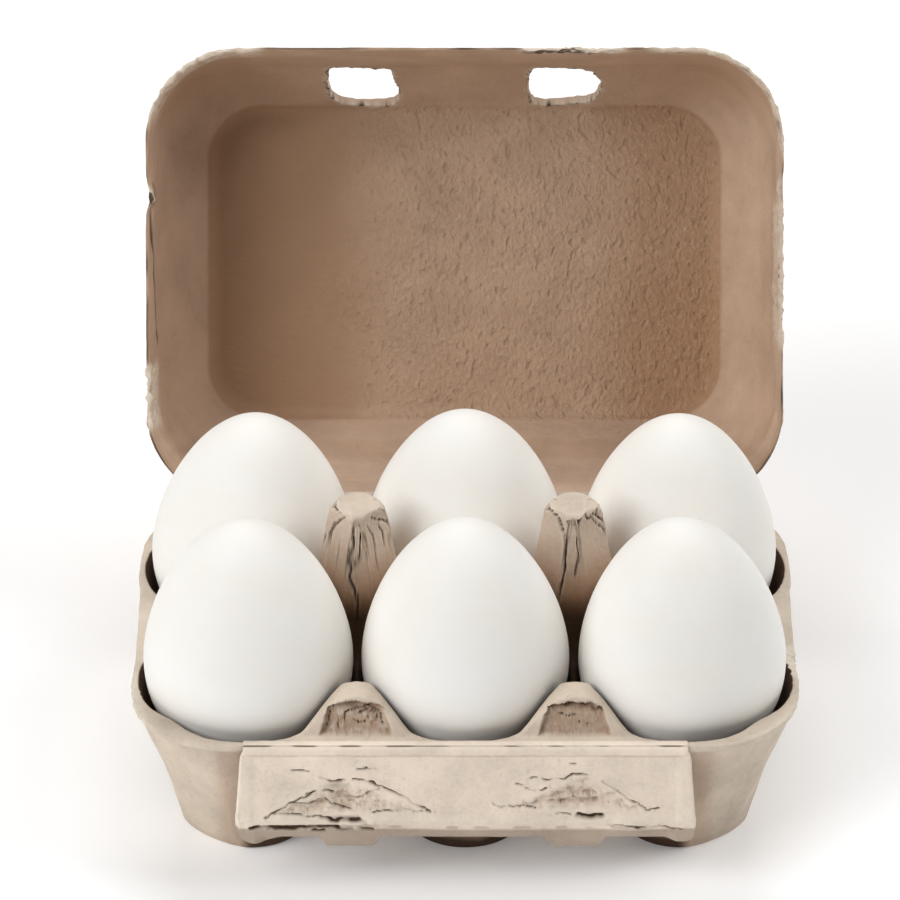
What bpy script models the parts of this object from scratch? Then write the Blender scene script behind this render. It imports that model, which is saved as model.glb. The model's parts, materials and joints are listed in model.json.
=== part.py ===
"""Six-egg carton of moulded paper pulp, open, with its six eggs.

Run with: blender --background --python part.py

The tray, the lid and the closing flap are one moulding joined by living hinges, so each
is a solid of its own here and turns about the fold that joins it to the tray.
Lengths are in metres. The tray is modelled about its own centre, +Y to the back, and the
whole is then moved so that the origin is under the middle of its bounding box.
"""

import math

import bmesh
import bpy
from mathutils import Matrix, Vector

MM = 0.001

# Tray, measured over its rim.
RIM_WIDTH = 146 * MM
RIM_FRONT = 51.9 * MM
RIM_BACK = 51.4 * MM
RIM_HEIGHT = 36.4 * MM
RIM_CORNER = 21.3 * MM
PULP = 1.7 * MM
WALL = 1.8 * MM

# Cups, one to each egg, in a grid of three by two.
PITCH_X = 47.8 * MM
PITCH_Y = 46.9 * MM
CUP_RADIUS = 22.9 * MM
CUP_FLOOR = 2.0 * MM
CUP_TOP_RADIUS = 28.7 * MM
CUP_OPEN_RADIUS = 29.5 * MM
CUP_OPEN_HEIGHT = 81.6 * MM
FOOT_RADIUS = 13.2 * MM
OUTER_FOOT_RADIUS = 15.5 * MM
FOOT_EDGE = 1.5 * MM
# Where the outline of a cup's share of the tray has corners, in millimetres: from the
# middle to the edge between two cups, and along the edges of a middle and an end cup.
SHARE_ALONG = (0, 5.3, 7.8, 10.3, 14, 18.5, 23.45, 29, 34, 43.3, 46.9)
SHARE_EDGE = (0, 6, 11.4, 15.9, 20.9, 23.9)
SHARE_MIDDLE = (0, 5.4, 9.9, 13.6, 16.1, 18.6, 23.9)
END_EDGE = (26.9, 31.9, 36.4, 42.0, 47.8)
END_SIDE = (23.45, 16.0, 12.5, 8.0, 3.0)
END_MIDDLE = (49.1, 45.6, 43.6, 36, 30, 23.9, 18.5, 14, 10.3, 7.8, 5.3)
CORNER_STEPS = 8

# Posts between the rows, and the webs and arches that join them to the rim. Profiles
# are in millimetres: distance out and height for a post, distance out and fall for an
# arch.
POST_HEIGHT = 68.0 * MM
POST_PROFILE = ((5.3, 68.0), (7.8, 55.0), (10.3, 45.0), (14.0, 40.0), (19.0, 36.4))
WEB_HEIGHT = 38.0 * MM
WEB_SLOPE = 0.8
ARCH_HEIGHT = 43.0 * MM
ARCH_PROFILE = ((0.0, 0.0), (3.0, 0.3), (8.0, 2.6), (12.5, 6.6))
ARCH_FOOT = 46.9 * MM
ARCH_TOP = 43.3 * MM
SIDE_ARCH_HEIGHT = 40.0 * MM
SIDE_ARCH_FOOT = 69.5 * MM
SIDE_ARCH_TOP = 67.5 * MM
ARCH_FADE = 10.5 * MM

# Flap, hung on the front rim; lengths down it are measured from its hinge.
FLAP_AXIS_Y = -51.1 * MM
FLAP_AXIS_Z = 36.2 * MM
FLAP_THICKNESS = 1.4 * MM
FLAP_HALF_TOP = 48.6 * MM
FLAP_HALF_BOTTOM = 50.0 * MM
FLAP_CREASE = 19.5 * MM
# Rows down the flap, in millimetres: its hinge edge, the hollows, the crease, the end of
# the lip and the end of the tongues.
FLAP_ROWS = (0.55, 3.5, 6.0, 8.0, 10.5, 13.2, 15.6, 17.6, 19.5, 23.0, 26.4)
FLAP_COLUMNS = (4.0, 10.5, 20.5, 28.0, 36.5, 41.0, 45.5)
FLAP_CORNER = 2.2 * MM
FLAP_LIP_BEND = math.radians(20)
FLAP_NOTCH = 50.2 * MM
FLAP_SLOT = 1.1 * MM
# Each hollow is a triangle: how far its corners stand from its middle and down the flap.
HOLLOW_DEPTH = 1.2 * MM
HOLLOW_BULGE = 0.6 * MM
HOLLOW_SLOPE = 4.0 * MM
HOLLOW_CENTRE = 25.0 * MM
HOLLOW_LEFT = 18.0 * MM
HOLLOW_RIGHT = 17.0 * MM
HOLLOW_APEX = 6.0 * MM
HOLLOW_BASE = 15.6 * MM
HOLLOW_RISE = 1.1 * MM
TONGUE_CENTRE = 24.3 * MM
TONGUE_HALF_TOP = 6.9 * MM
TONGUE_HALF_END = 4.5 * MM

# Lid, measured from its hinge; depth is counted from its rim to its top panel.
LID_AXIS_Y = 51.7 * MM
LID_AXIS_Z = 36.55 * MM
LID_RIM_GAP = 0.15 * MM
LID_LENGTH = 104.6 * MM
LID_THICKNESS = 1.5 * MM
LID_OPEN = math.radians(115)
LID_CORNER = 21.3 * MM
LID_CORNER_STEPS = 7
# Each row: depth, then how far the inner face stands in from the front, the sides and
# the back of the rim, then the corner radius.
LID_SECTIONS = (
    (0.0, 1.5, 1.5, 1.5, 19.8),
    (7.0, 2.4, 1.65, 3.6, 19.8),
    (14.0, 4.0, 2.2, 4.6, 19.5),
    (22.8, 5.5, 4.4, 7.2, 18.5),
    (28.0, 9.0, 6.9, 9.8, 17.0),
    (33.0, 12.5, 10.2, 13.2, 15.0),
    (37.5, 15.3, 13.3, 15.8, 12.5),
    (39.8, 17.4, 15.4, 17.6, 11.0),
    (40.5, 19.5, 17.5, 19.5, 9.5),
)
LATCH_CENTRE = 23.4 * MM
LATCH_WIDTH = 17.2 * MM
LATCH_NEAR = 22.5 * MM
LATCH_FAR = 38.6 * MM
LATCH_CORNER = 3.0 * MM
LATCH_REACH = 24.0 * MM

# Eggs, blunt end down. The taper makes the upper end narrower; the blunt end swells
# less the nearer it is to its tip, so that it sits within the cup's wall.
EGG_RADIUS = 22.6 * MM
EGG_HALF_HEIGHT = 29.8 * MM
EGG_TAPER = 0.19
EGG_BLUNTNESS = 0.6
EGG_MIDDLE_Z = 46.6 * MM
EGG_SEAT_Z = 41.0 * MM
EGG_SIDES = 20
EGG_BANDS = 11
EGG_NAMES = ("left", "middle", "right")
# Each egg's share of that radius and height, and its lean towards +X in degrees.
EGG_VARIATIONS = {
    "front": ((1.008, 1.0, -1.2), (1.0, 1.0, -0.5), (1.0, 0.998, -1.4)),
    "back": ((1.0, 0.965, 2.0), (1.0, 1.0, 0.0), (0.98, 0.96, 0.5)),
}

PULP_COLOUR = (0.61, 0.51, 0.42, 1.0)
LID_COLOUR = (0.46, 0.33, 0.26, 1.0)
EGG_COLOUR = (0.88, 0.86, 0.82, 1.0)


def interpolate(value, points):
    """Read a list of (place, height) points, with straight lines between them."""
    if value <= points[0][0]:
        return points[0][1]
    for (x0, y0), (x1, y1) in zip(points, points[1:]):
        if value <= x1:
            return y0 + (y1 - y0) * (value - x0) / (x1 - x0)
    return points[-1][1]


def material(name, colour, roughness):
    """A plain Principled material for one kind of surface."""
    made = bpy.data.materials.new(name)
    made.use_nodes = True
    shader = made.node_tree.nodes["Principled BSDF"]
    shader.inputs["Base Color"].default_value = colour
    shader.inputs["Roughness"].default_value = roughness
    shader.inputs["Metallic"].default_value = 0.0
    return made


class Shell:
    """Collects corners and faces, and welds corners that fall on the same place."""

    def __init__(self):
        self.corners = []
        self.faces = []
        self.index = {}

    def corner(self, point):
        key = tuple(round(value * 1e7) for value in point)
        if key not in self.index:
            self.index[key] = len(self.corners)
            self.corners.append(tuple(point))
        return self.index[key]

    def face(self, points, flip=False):
        """Add a face, without the corners that coincide."""
        ring = []
        for point in points:
            number = self.corner(point)
            if number not in ring:
                ring.append(number)
        if len(ring) > 2:
            self.faces.append(ring[::-1] if flip else ring)

    def strip(self, first, second, flip=False):
        """Join two closed rings of points with one band of faces."""
        count = len(first)
        for k in range(count):
            after = (k + 1) % count
            self.face((first[k], first[after], second[after], second[k]), flip)

    def fan(self, centre, ring, flip=False):
        """Close a ring of points towards one point inside it."""
        count = len(ring)
        for k in range(count):
            self.face((centre, ring[k], ring[(k + 1) % count]), flip)

    def to_object(self, name, surface, sharp=math.radians(35)):
        mesh = bpy.data.meshes.new(name)
        mesh.from_pydata(self.corners, [], self.faces)
        mesh.validate()
        work = bmesh.new()
        work.from_mesh(mesh)
        bmesh.ops.recalc_face_normals(work, faces=work.faces)
        work.to_mesh(mesh)
        work.free()
        mesh.shade_smooth()
        mesh.set_sharp_from_angle(angle=sharp)
        mesh.materials.append(surface)
        made = bpy.data.objects.new(name, mesh)
        bpy.context.scene.collection.objects.link(made)
        return made


# ---------------------------------------------------------------- tray

def arch(across, along, height, foot, top, spread):
    """Height of an arch, across its ridge and along it towards the rim."""
    side = height - interpolate((across + spread) / MM, ARCH_PROFILE) * MM
    face = RIM_HEIGHT + (foot - along - spread) * (height - RIM_HEIGHT) / (foot - top)
    fade = max(0.0, (top - ARCH_FADE - along) * 0.5)
    return min(side - fade, face)


def tray_top(x, y, spread=0.0):
    """Height of what stands between the cups: rim, webs, arches and posts.

    With a spread the same shape is read that much further out, for the underside.
    """
    across = abs(abs(x) - PITCH_X / 2)
    along = abs(y)
    post = interpolate((math.hypot(across, along) + spread) / MM, POST_PROFILE) * MM
    height = max(RIM_HEIGHT, post)
    height = max(height, arch(across, along, ARCH_HEIGHT, ARCH_FOOT, ARCH_TOP, spread))
    side = arch(along, abs(x), SIDE_ARCH_HEIGHT, SIDE_ARCH_FOOT, SIDE_ARCH_TOP, spread)
    if abs(x) > PITCH_X:
        height = max(height, side)
    if along < ARCH_TOP and abs(x) < SIDE_ARCH_TOP:
        height = max(height, WEB_HEIGHT - WEB_SLOPE * (min(across, along) + spread))
    return height


def foot_radius(column, row, dx, dy):
    """Outer radius of a cup's foot in one direction; the carton's corners are cut."""
    outward_x = dx * column > 0
    outward_y = dy * row > 0
    radius_x = OUTER_FOOT_RADIUS if outward_x else FOOT_RADIUS
    power = 1.5 if outward_x and outward_y else 2.0
    total = (abs(dx) / radius_x) ** power + (abs(dy) / FOOT_RADIUS) ** power
    return total ** (-1.0 / power)


def cup_inside(radius, foot):
    """Height of a cup's inner wall: a cone to the rim, then steeper along a post."""
    points = (
        (foot - WALL, CUP_FLOOR),
        (CUP_RADIUS, RIM_HEIGHT),
        (CUP_TOP_RADIUS, POST_HEIGHT),
        (CUP_OPEN_RADIUS, CUP_OPEN_HEIGHT),
    )
    return interpolate(radius, points)


def cup_outside(radius, foot):
    """Height of the same wall's outer face."""
    points = (
        (foot, FOOT_EDGE),
        (CUP_RADIUS + WALL, RIM_HEIGHT - PULP),
        (CUP_TOP_RADIUS + WALL, POST_HEIGHT - PULP),
        (CUP_OPEN_RADIUS + WALL, CUP_OPEN_HEIGHT),
    )
    return interpolate(radius, points)


def crossing(wall, roof, low, high):
    """Radius at which a rising wall meets the surface above it."""
    if wall(high) < roof(high):
        return high
    for _ in range(40):
        middle = (low + high) / 2
        if wall(middle) < roof(middle):
            low = middle
        else:
            high = middle
    return (low + high) / 2


def millimetres(places):
    """A list given in millimetres, in metres."""
    return [value * MM for value in places]


def cell_outline(column, row):
    """Corners round one cup's share of the tray, starting on the web to its right.

    column is -1, 0 or 1 and row is -1 (front) or 1 (back).
    """
    half = PITCH_X / 2
    edge_y = RIM_FRONT if row < 0 else RIM_BACK
    along = millimetres(SHARE_ALONG)
    along.append(edge_y)
    outer = []
    if column == 0:
        across = millimetres(SHARE_EDGE)
        inner = millimetres(SHARE_MIDDLE)
        outer += [(-half, row * y) for y in along]
        outer += [(-x, row * edge_y) for x in across[-2::-1]]
        outer += [(x, row * edge_y) for x in across[1:]]
        outer += [(half, row * y) for y in along[-2::-1]]
        outer += [(x, 0.0) for x in inner[-2::-1]]
        outer += [(-x, 0.0) for x in inner[1:-1]]
    else:
        out = column
        outer += [(out * half, row * y) for y in along]
        edge = millimetres(END_EDGE)
        outer += [(out * x, row * edge_y) for x in edge]
        corner_x = RIM_WIDTH / 2 - RIM_CORNER
        corner_y = edge_y - RIM_CORNER
        for step in range(CORNER_STEPS + 1):
            turn = math.radians(90 * step / CORNER_STEPS)
            x = corner_x + RIM_CORNER * math.sin(turn)
            y = corner_y + RIM_CORNER * math.cos(turn)
            outer.append((out * x, row * y))
        side = millimetres(END_SIDE)
        outer += [(out * RIM_WIDTH / 2, row * y) for y in side]
        inner = millimetres(END_MIDDLE)
        outer += [(out * (half + x), 0.0) for x in inner]
    if column * row > 0 or (column == 0 and row > 0):
        outer.reverse()
    return outer


def notch(x, y):
    """The front rim stands back a little where the flap hangs from it."""
    if y < -RIM_FRONT + 0.5 * MM and abs(x) < FLAP_NOTCH:
        return y + FLAP_SLOT
    return y


def add_cup(shell, column, row):
    """One cup with its share of the rim, its webs and its quarters of the posts."""
    centre = Vector((column * PITCH_X, row * PITCH_Y / 2))
    top_rings = [[] for _ in range(6)]
    low_rings = [[] for _ in range(5)]
    for x, y in cell_outline(column, row):
        y = notch(x, y)
        ray = Vector((x, y)) - centre
        reach = ray.length
        ray.normalize()
        foot = foot_radius(column, row, ray.x, ray.y)

        def place(radius):
            return centre + ray * radius

        def over(radius):
            spot = place(radius)
            return tray_top(spot.x, spot.y)

        def under(radius):
            spot = place(radius)
            return tray_top(spot.x, spot.y, WALL) - PULP

        lip = crossing(lambda r: cup_inside(r, foot), over, foot, reach)
        knee = min(CUP_RADIUS, lip)
        first = lip
        second = lip
        if over(lip) > RIM_HEIGHT and abs(y) > ARCH_FOOT:
            first = (ARCH_TOP - abs(centre.y)) / abs(ray.y)
            second = (ARCH_FOOT - abs(centre.y)) / abs(ray.y)
            first = min(max(first, lip), reach)
            second = min(max(second, lip), reach)
        radii = (foot - WALL, knee, lip, first, second, reach)
        for ring, radius in zip(top_rings, radii):
            spot = place(radius)
            height = min(cup_inside(radius, foot), over(radius))
            ring.append((spot.x, spot.y, height))

        eave = crossing(lambda r: cup_outside(r, foot), under, foot, reach)
        knee = min(CUP_RADIUS + WALL, eave)
        radii = (foot - FOOT_EDGE, foot, knee, eave, reach)
        for number, radius in enumerate(radii):
            spot = place(radius)
            height = min(cup_outside(radius, foot), under(radius))
            if number == 0:
                height = 0.0
            low_rings[number].append((spot.x, spot.y, height))
    shell.fan((centre.x, centre.y, CUP_FLOOR), top_rings[0])
    for inner, outer in zip(top_rings, top_rings[1:]):
        shell.strip(inner, outer, flip=True)
    shell.fan((centre.x, centre.y, 0.0), low_rings[0], flip=True)
    for inner, outer in zip(low_rings, low_rings[1:]):
        shell.strip(inner, outer)
    close_rim(shell, top_rings[-1], low_rings[-1])


def close_rim(shell, top, low):
    """The rim's own thickness, where the cup's share ends at the tray's outline."""
    count = len(top)
    for k in range(count):
        after = (k + 1) % count
        ends = (top[k], top[after])
        if all(on_outline(point) for point in ends):
            shell.face((top[k], top[after], low[after], low[k]))


def on_outline(point):
    """True for a point on the tray's outer edge."""
    x, y = abs(point[0]), abs(point[1])
    straight = x > RIM_WIDTH / 2 - 1e-6 or y > RIM_BACK - 0.7 * MM
    corner_x = RIM_WIDTH / 2 - RIM_CORNER
    corner_y = (RIM_FRONT if point[1] < 0 else RIM_BACK) - RIM_CORNER
    if x > corner_x and y > corner_y:
        return math.hypot(x - corner_x, y - corner_y) > RIM_CORNER - 1e-6
    return straight


def make_tray(surface):
    """The tray: six cups, two hollow posts, webs, arches and a flat rim."""
    shell = Shell()
    for row in (-1, 1):
        for column in (-1, 0, 1):
            add_cup(shell, column, row)
    return shell.to_object("tray", surface)


# ---------------------------------------------------------------- lid

def quarter(x, y, radius, start):
    """A quarter circle of points about one corner's centre, from a start in degrees."""
    points = []
    for step in range(LID_CORNER_STEPS + 1):
        turn = math.radians(start + 90 * step / LID_CORNER_STEPS)
        points.append((x + radius * math.cos(turn), y + radius * math.sin(turn)))
    return points


def lid_ring(depth, front, side, back, corner):
    """Points round the lid at one depth, in its closed place over the tray."""
    half = RIM_WIDTH / 2 - side
    near = -LID_LENGTH + front
    far = -back
    latch = (LATCH_CENTRE - LATCH_WIDTH / 2, LATCH_CENTRE + LATCH_WIDTH / 2)
    points = [(x, near) for x in (-latch[1], -latch[0], 0.0, latch[0], latch[1])]
    points += quarter(half - corner, near + corner, corner, -90)
    points.append((half, (near + far) / 2))
    points += quarter(half - corner, far - corner, corner, 0)
    points += [(x, far) for x in (latch[1], 0.0, -latch[1])]
    points += quarter(corner - half, far - corner, corner, 90)
    points.append((-half, (near + far) / 2))
    points += quarter(corner - half, near + corner, corner, 180)
    return [(x, y, LID_RIM_GAP + depth) for x, y in points]


def lid_inside():
    return [lid_ring(*(value * MM for value in row)) for row in LID_SECTIONS]


def lid_outside():
    """The outer face, one thickness out from the inner one along each side."""
    rings = [lid_ring(0.0, 0.0, 0.0, 0.0, LID_CORNER)]
    rows = [[value * MM for value in row] for row in LID_SECTIONS]
    for before, row, after in zip(rows, rows[1:], rows[2:]):
        run = after[0] - before[0]
        slope = sum(after[k] - before[k] for k in (1, 2, 3)) / 3 / run
        length = math.hypot(1.0, slope)
        outward = LID_THICKNESS / length
        upward = LID_THICKNESS * slope / length
        sides = [row[k] - outward for k in (1, 2, 3)]
        rings.append(lid_ring(row[0] + upward, *sides, row[4] + outward))
    last = rows[-1]
    rings.append(lid_ring(last[0] + LID_THICKNESS, *last[1:4], last[4]))
    return rings


def latch_cutter(name, x):
    """The block that cuts one latch hole through the lid's front shoulder."""
    work = bmesh.new()
    bmesh.ops.create_cube(work, size=1.0)
    height = LATCH_FAR - LATCH_NEAR
    bmesh.ops.scale(work, vec=(LATCH_WIDTH, LATCH_REACH, height), verts=work.verts)
    upright = [e for e in work.edges if abs(e.verts[0].co.y - e.verts[1].co.y) > MM]
    bmesh.ops.bevel(
        work, geom=upright, offset=LATCH_CORNER, segments=3, profile=0.5, affect="EDGES"
    )
    y = -LID_LENGTH + LATCH_REACH / 2 - MM
    z = LID_RIM_GAP + LATCH_NEAR + height / 2
    bmesh.ops.translate(work, vec=(x, y, z), verts=work.verts)
    mesh = bpy.data.meshes.new(name)
    work.to_mesh(mesh)
    work.free()
    made = bpy.data.objects.new(name, mesh)
    made.hide_render = True
    made.display_type = "WIRE"
    bpy.context.scene.collection.objects.link(made)
    return made


def make_lid(surface):
    """The lid, swung open about its hinge, with two latch holes near its top panel."""
    shell = Shell()
    inside = lid_inside()
    outside = lid_outside()
    for first, second in zip(inside, inside[1:]):
        shell.strip(first, second)
    for first, second in zip(outside, outside[1:]):
        shell.strip(first, second, flip=True)
    shell.strip(outside[0], inside[0])
    shell.face(inside[-1])
    shell.face(outside[-1], flip=True)
    lid = shell.to_object("lid", surface)
    for side, sign in (("left", -1), ("right", 1)):
        cutter = latch_cutter("latch_cutter_" + side, sign * LATCH_CENTRE)
        cutter.parent = lid
        cut = lid.modifiers.new("latch_hole_" + side, "BOOLEAN")
        cut.operation = "DIFFERENCE"
        cut.solver = "EXACT"
        cut.object = cutter
    lid.location = (0.0, LID_AXIS_Y, LID_AXIS_Z)
    lid.rotation_euler = (-LID_OPEN, 0.0, 0.0)
    return lid


# ---------------------------------------------------------------- flap

def hollow(x, down):
    """Depth of the two crumpled three-sided hollows, as a share of the full depth.

    The right one sits a little nearer the hinge than the left one.
    """
    best = 0.0
    spot = Vector((x, down))
    for sign, rise in ((-1, 0.0), (1, HOLLOW_RISE)):
        apex = Vector((sign * HOLLOW_CENTRE, HOLLOW_APEX - rise))
        left = Vector((apex.x - HOLLOW_LEFT, HOLLOW_BASE - rise))
        right = Vector((apex.x + HOLLOW_RIGHT, HOLLOW_BASE - rise))
        inside = 1.0
        for start, end in ((apex, left), (left, right), (right, apex)):
            edge = end - start
            cross = edge.x * (spot.y - start.y) - edge.y * (spot.x - start.x)
            inside = min(inside, -cross / edge.length / HOLLOW_SLOPE)
        best = max(best, min(inside, 1.0))
    return best


def flap_point(x, down, offset):
    """A point of the flap as it hangs; below the crease it bends back under."""
    if down <= FLAP_CREASE:
        return (x, -offset, -down)
    past = down - FLAP_CREASE
    y = -offset * math.cos(FLAP_LIP_BEND) + past * math.sin(FLAP_LIP_BEND)
    z = -FLAP_CREASE - past * math.cos(FLAP_LIP_BEND) - offset * math.sin(FLAP_LIP_BEND)
    return (x, y, z)


def flap_columns():
    """Places across the flap that its hollows and tongues need."""
    places = millimetres(FLAP_COLUMNS)
    places += [TONGUE_CENTRE - TONGUE_HALF_TOP, TONGUE_CENTRE]
    places += [TONGUE_CENTRE + TONGUE_HALF_TOP, FLAP_HALF_TOP]
    places.sort()
    return [-x for x in reversed(places)] + [0.0] + places


def make_flap(surface):
    """The closing flap, hanging from the front rim, with its lip and two tongues."""
    columns = flap_columns()
    downs = millimetres(FLAP_ROWS)
    last = len(downs) - 1
    front = []
    back = []
    for number, down in enumerate(downs):
        front_row = []
        back_row = []
        for x in columns:
            at_edge = abs(abs(x) - FLAP_HALF_TOP) < 1e-6
            here = down - FLAP_CORNER if at_edge and number == last - 1 else down
            wide = x * (1 + (FLAP_HALF_BOTTOM / FLAP_HALF_TOP - 1) * here / FLAP_CREASE)
            if number == last:
                side = math.copysign(TONGUE_CENTRE, x)
                wide = side + (x - side) * TONGUE_HALF_END / TONGUE_HALF_TOP
            dent = hollow(wide, here)
            surface_front = FLAP_THICKNESS - dent * HOLLOW_DEPTH
            front_row.append(flap_point(wide, here, surface_front))
            back_row.append(flap_point(wide, here, -dent * HOLLOW_BULGE))
        front.append(front_row)
        back.append(back_row)
    shell = Shell()
    cells = set()
    for i in range(last):
        for j in range(len(columns) - 1):
            middle = (abs(columns[j]) + abs(columns[j + 1])) / 2
            on_tongue = abs(middle - TONGUE_CENTRE) < TONGUE_HALF_TOP
            if i < last - 1 or on_tongue:
                cells.add((i, j))
    for i, j in sorted(cells):
        ends = ((i, j), (i, j + 1), (i + 1, j + 1), (i + 1, j))
        shell.face([front[a][b] for a, b in ends])
        shell.face([back[a][b] for a, b in ends], flip=True)
        beside = ((i - 1, j), (i, j + 1), (i + 1, j), (i, j - 1))
        for k, other in enumerate(beside):
            if other not in cells:
                (a, b), (c, d) = ends[k], ends[(k + 1) % 4]
                shell.face((front[a][b], front[c][d], back[c][d], back[a][b]), flip=True)
    flap = shell.to_object("flap", surface)
    flap.location = (0.0, FLAP_AXIS_Y, FLAP_AXIS_Z)
    return flap


# ---------------------------------------------------------------- eggs

def egg_radius(cosine):
    """Radius at one level, as a share of EGG_RADIUS; the cosine is 1 at the upper tip."""
    taper = EGG_TAPER * cosine
    if cosine < 0:
        taper *= 1 + EGG_BLUNTNESS * cosine
    return math.sqrt(1 - cosine * cosine) * (1 - taper)


def make_egg(name, surface, wide, tall):
    """One egg standing on its blunt end, measured from its seat in the cup."""
    shell = Shell()
    half = EGG_HALF_HEIGHT * (1 + tall) / 2
    middle = EGG_MIDDLE_Z - EGG_SEAT_Z - EGG_HALF_HEIGHT * (1 - tall) / 2
    rows = []
    for i in range(1, EGG_BANDS):
        cosine = math.cos(math.pi * i / EGG_BANDS)
        radius = EGG_RADIUS * wide * egg_radius(cosine)
        row = []
        for k in range(EGG_SIDES):
            angle = 2 * math.pi * k / EGG_SIDES
            x = radius * math.cos(angle)
            y = radius * math.sin(angle)
            row.append((x, y, middle + half * cosine))
        rows.append(row)
    shell.fan((0.0, 0.0, middle + half), rows[0])
    for first, second in zip(rows, rows[1:]):
        shell.strip(first, second)
    shell.fan((0.0, 0.0, middle - half), rows[-1], flip=True)
    return shell.to_object(name, surface, sharp=math.radians(180))


def make_eggs(surface):
    """Two rows of three eggs, each a little different from the next."""
    made = []
    for row, sign in (("front", -1), ("back", 1)):
        for column, side in enumerate(EGG_NAMES):
            wide, tall, lean = EGG_VARIATIONS[row][column]
            egg = make_egg("egg_" + row + "_" + side, surface, wide, tall)
            x = (column - 1) * PITCH_X
            egg.location = (x, sign * PITCH_Y / 2, EGG_SEAT_Z)
            egg.rotation_euler = (0.0, math.radians(lean), 0.0)
            made.append(egg)
    return made


# ---------------------------------------------------------------- whole

def lid_reach():
    """How far back the open lid reaches, from the tray's centre."""
    swing = Matrix.Rotation(-LID_OPEN, 3, "X")
    points = [Vector(point) for ring in lid_outside() for point in ring]
    return LID_AXIS_Y + max((swing @ point).y for point in points)


def main():
    for old in list(bpy.data.objects):
        bpy.data.objects.remove(old, do_unlink=True)
    pulp = material("pulp", PULP_COLOUR, 0.92)
    lid_pulp = material("lid_pulp", LID_COLOUR, 0.92)
    eggshell = material("eggshell", EGG_COLOUR, 0.55)
    pieces = [make_tray(pulp), make_lid(lid_pulp), make_flap(pulp)]
    pieces += make_eggs(eggshell)
    front = FLAP_AXIS_Y - FLAP_THICKNESS
    centre = bpy.data.objects.new("carton", None)
    centre.location = (0.0, -(front + lid_reach()) / 2, 0.0)
    bpy.context.scene.collection.objects.link(centre)
    for piece in pieces:
        piece.parent = centre


if __name__ == "__main__":
    main()
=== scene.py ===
"""Six-egg carton of moulded paper pulp, open, with its six eggs: the finished look.

The tray, the lid and the flap are made here as fine closed skins of the same shape and
size as the plain solids of the frame, with the pulp's lumps, folds, tears and cracks.
Lengths are in metres. Shapes are worked out about the tray's own centre and then moved
to where the frame has it.
"""

import itertools
import json
import math

import bmesh
import bpy
import numpy as np
from bpy.props import FloatProperty, FloatVectorProperty, PointerProperty
from bpy.types import Operator, Panel, PropertyGroup
from mathutils import Matrix, Vector


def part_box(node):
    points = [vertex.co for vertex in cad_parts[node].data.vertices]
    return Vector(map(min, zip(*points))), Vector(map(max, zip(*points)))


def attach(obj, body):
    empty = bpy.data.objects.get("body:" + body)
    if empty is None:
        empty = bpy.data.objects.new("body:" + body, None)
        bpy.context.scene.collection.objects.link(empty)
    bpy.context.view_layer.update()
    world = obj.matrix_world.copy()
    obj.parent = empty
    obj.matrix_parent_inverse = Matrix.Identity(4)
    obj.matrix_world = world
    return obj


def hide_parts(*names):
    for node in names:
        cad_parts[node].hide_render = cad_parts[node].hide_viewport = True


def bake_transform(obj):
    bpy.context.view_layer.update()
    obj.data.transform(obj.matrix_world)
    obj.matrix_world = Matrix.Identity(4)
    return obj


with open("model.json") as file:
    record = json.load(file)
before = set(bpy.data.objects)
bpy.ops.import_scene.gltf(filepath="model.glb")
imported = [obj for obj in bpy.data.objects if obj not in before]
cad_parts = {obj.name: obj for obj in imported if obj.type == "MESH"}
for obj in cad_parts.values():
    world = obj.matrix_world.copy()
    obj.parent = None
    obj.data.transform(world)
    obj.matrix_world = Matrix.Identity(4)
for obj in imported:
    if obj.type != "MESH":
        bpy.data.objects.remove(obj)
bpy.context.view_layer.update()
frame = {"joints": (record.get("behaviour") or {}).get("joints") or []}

bl_info = {
    "name": "Pulp Egg Carton",
    "version": (1, 0, 0),
    "blender": (4, 5, 0),
    "location": "3D Viewport > Sidebar > Carton",
    "description": "Builds the finished tray, lid, flap and eggs of an open egg carton",
    "category": "Object",
}

MM = 0.001
JOINTS = {joint["name"]: joint for joint in frame["joints"]}
TRAY_LOW, TRAY_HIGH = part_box("tray")

# ---------------------------------------------------------------- measures

# Tray, about its own centre.
LID_AXIS_Y = 51.7 * MM
LID_AXIS_Z = JOINTS["lid_hinge"]["pos_m"][2]
CENTRE_Y = JOINTS["lid_hinge"]["pos_m"][1] - LID_AXIS_Y
FLAP_AXIS_Y = JOINTS["flap_hinge"]["pos_m"][1] - CENTRE_Y
FLAP_AXIS_Z = JOINTS["flap_hinge"]["pos_m"][2]
RIM_WIDTH = TRAY_HIGH.x - TRAY_LOW.x
RIM_FRONT = CENTRE_Y - TRAY_LOW.y - 0.9 * MM
RIM_BACK = TRAY_HIGH.y - CENTRE_Y
POST_HEIGHT = TRAY_HIGH.z
RIM_HEIGHT = 36.4 * MM
RIM_CORNER = 21.3 * MM
PULP = 1.3 * MM
WALL = 1.8 * MM
PITCH_X = 47.8 * MM
PITCH_Y = 46.9 * MM
CUP_RADIUS = 23.1 * MM
SIDE_ROOM = 1.3 * MM
FRONT_ROOM = 1.9 * MM
CUP_FLOOR = 2.0 * MM
CUP_TOP_RADIUS = 28.7 * MM
FOOT_RADIUS = 13.2 * MM
OUTER_FOOT_RADIUS = 15.5 * MM
FOOT_EDGE = 1.5 * MM
SOFT_EDGE = 1.0 * MM
LIP_EDGE = 7.0 * MM
FACET_TURN = math.radians(45)
FACET_START = math.radians(13.5)
FACET_DEPTH = 0.035

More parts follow.
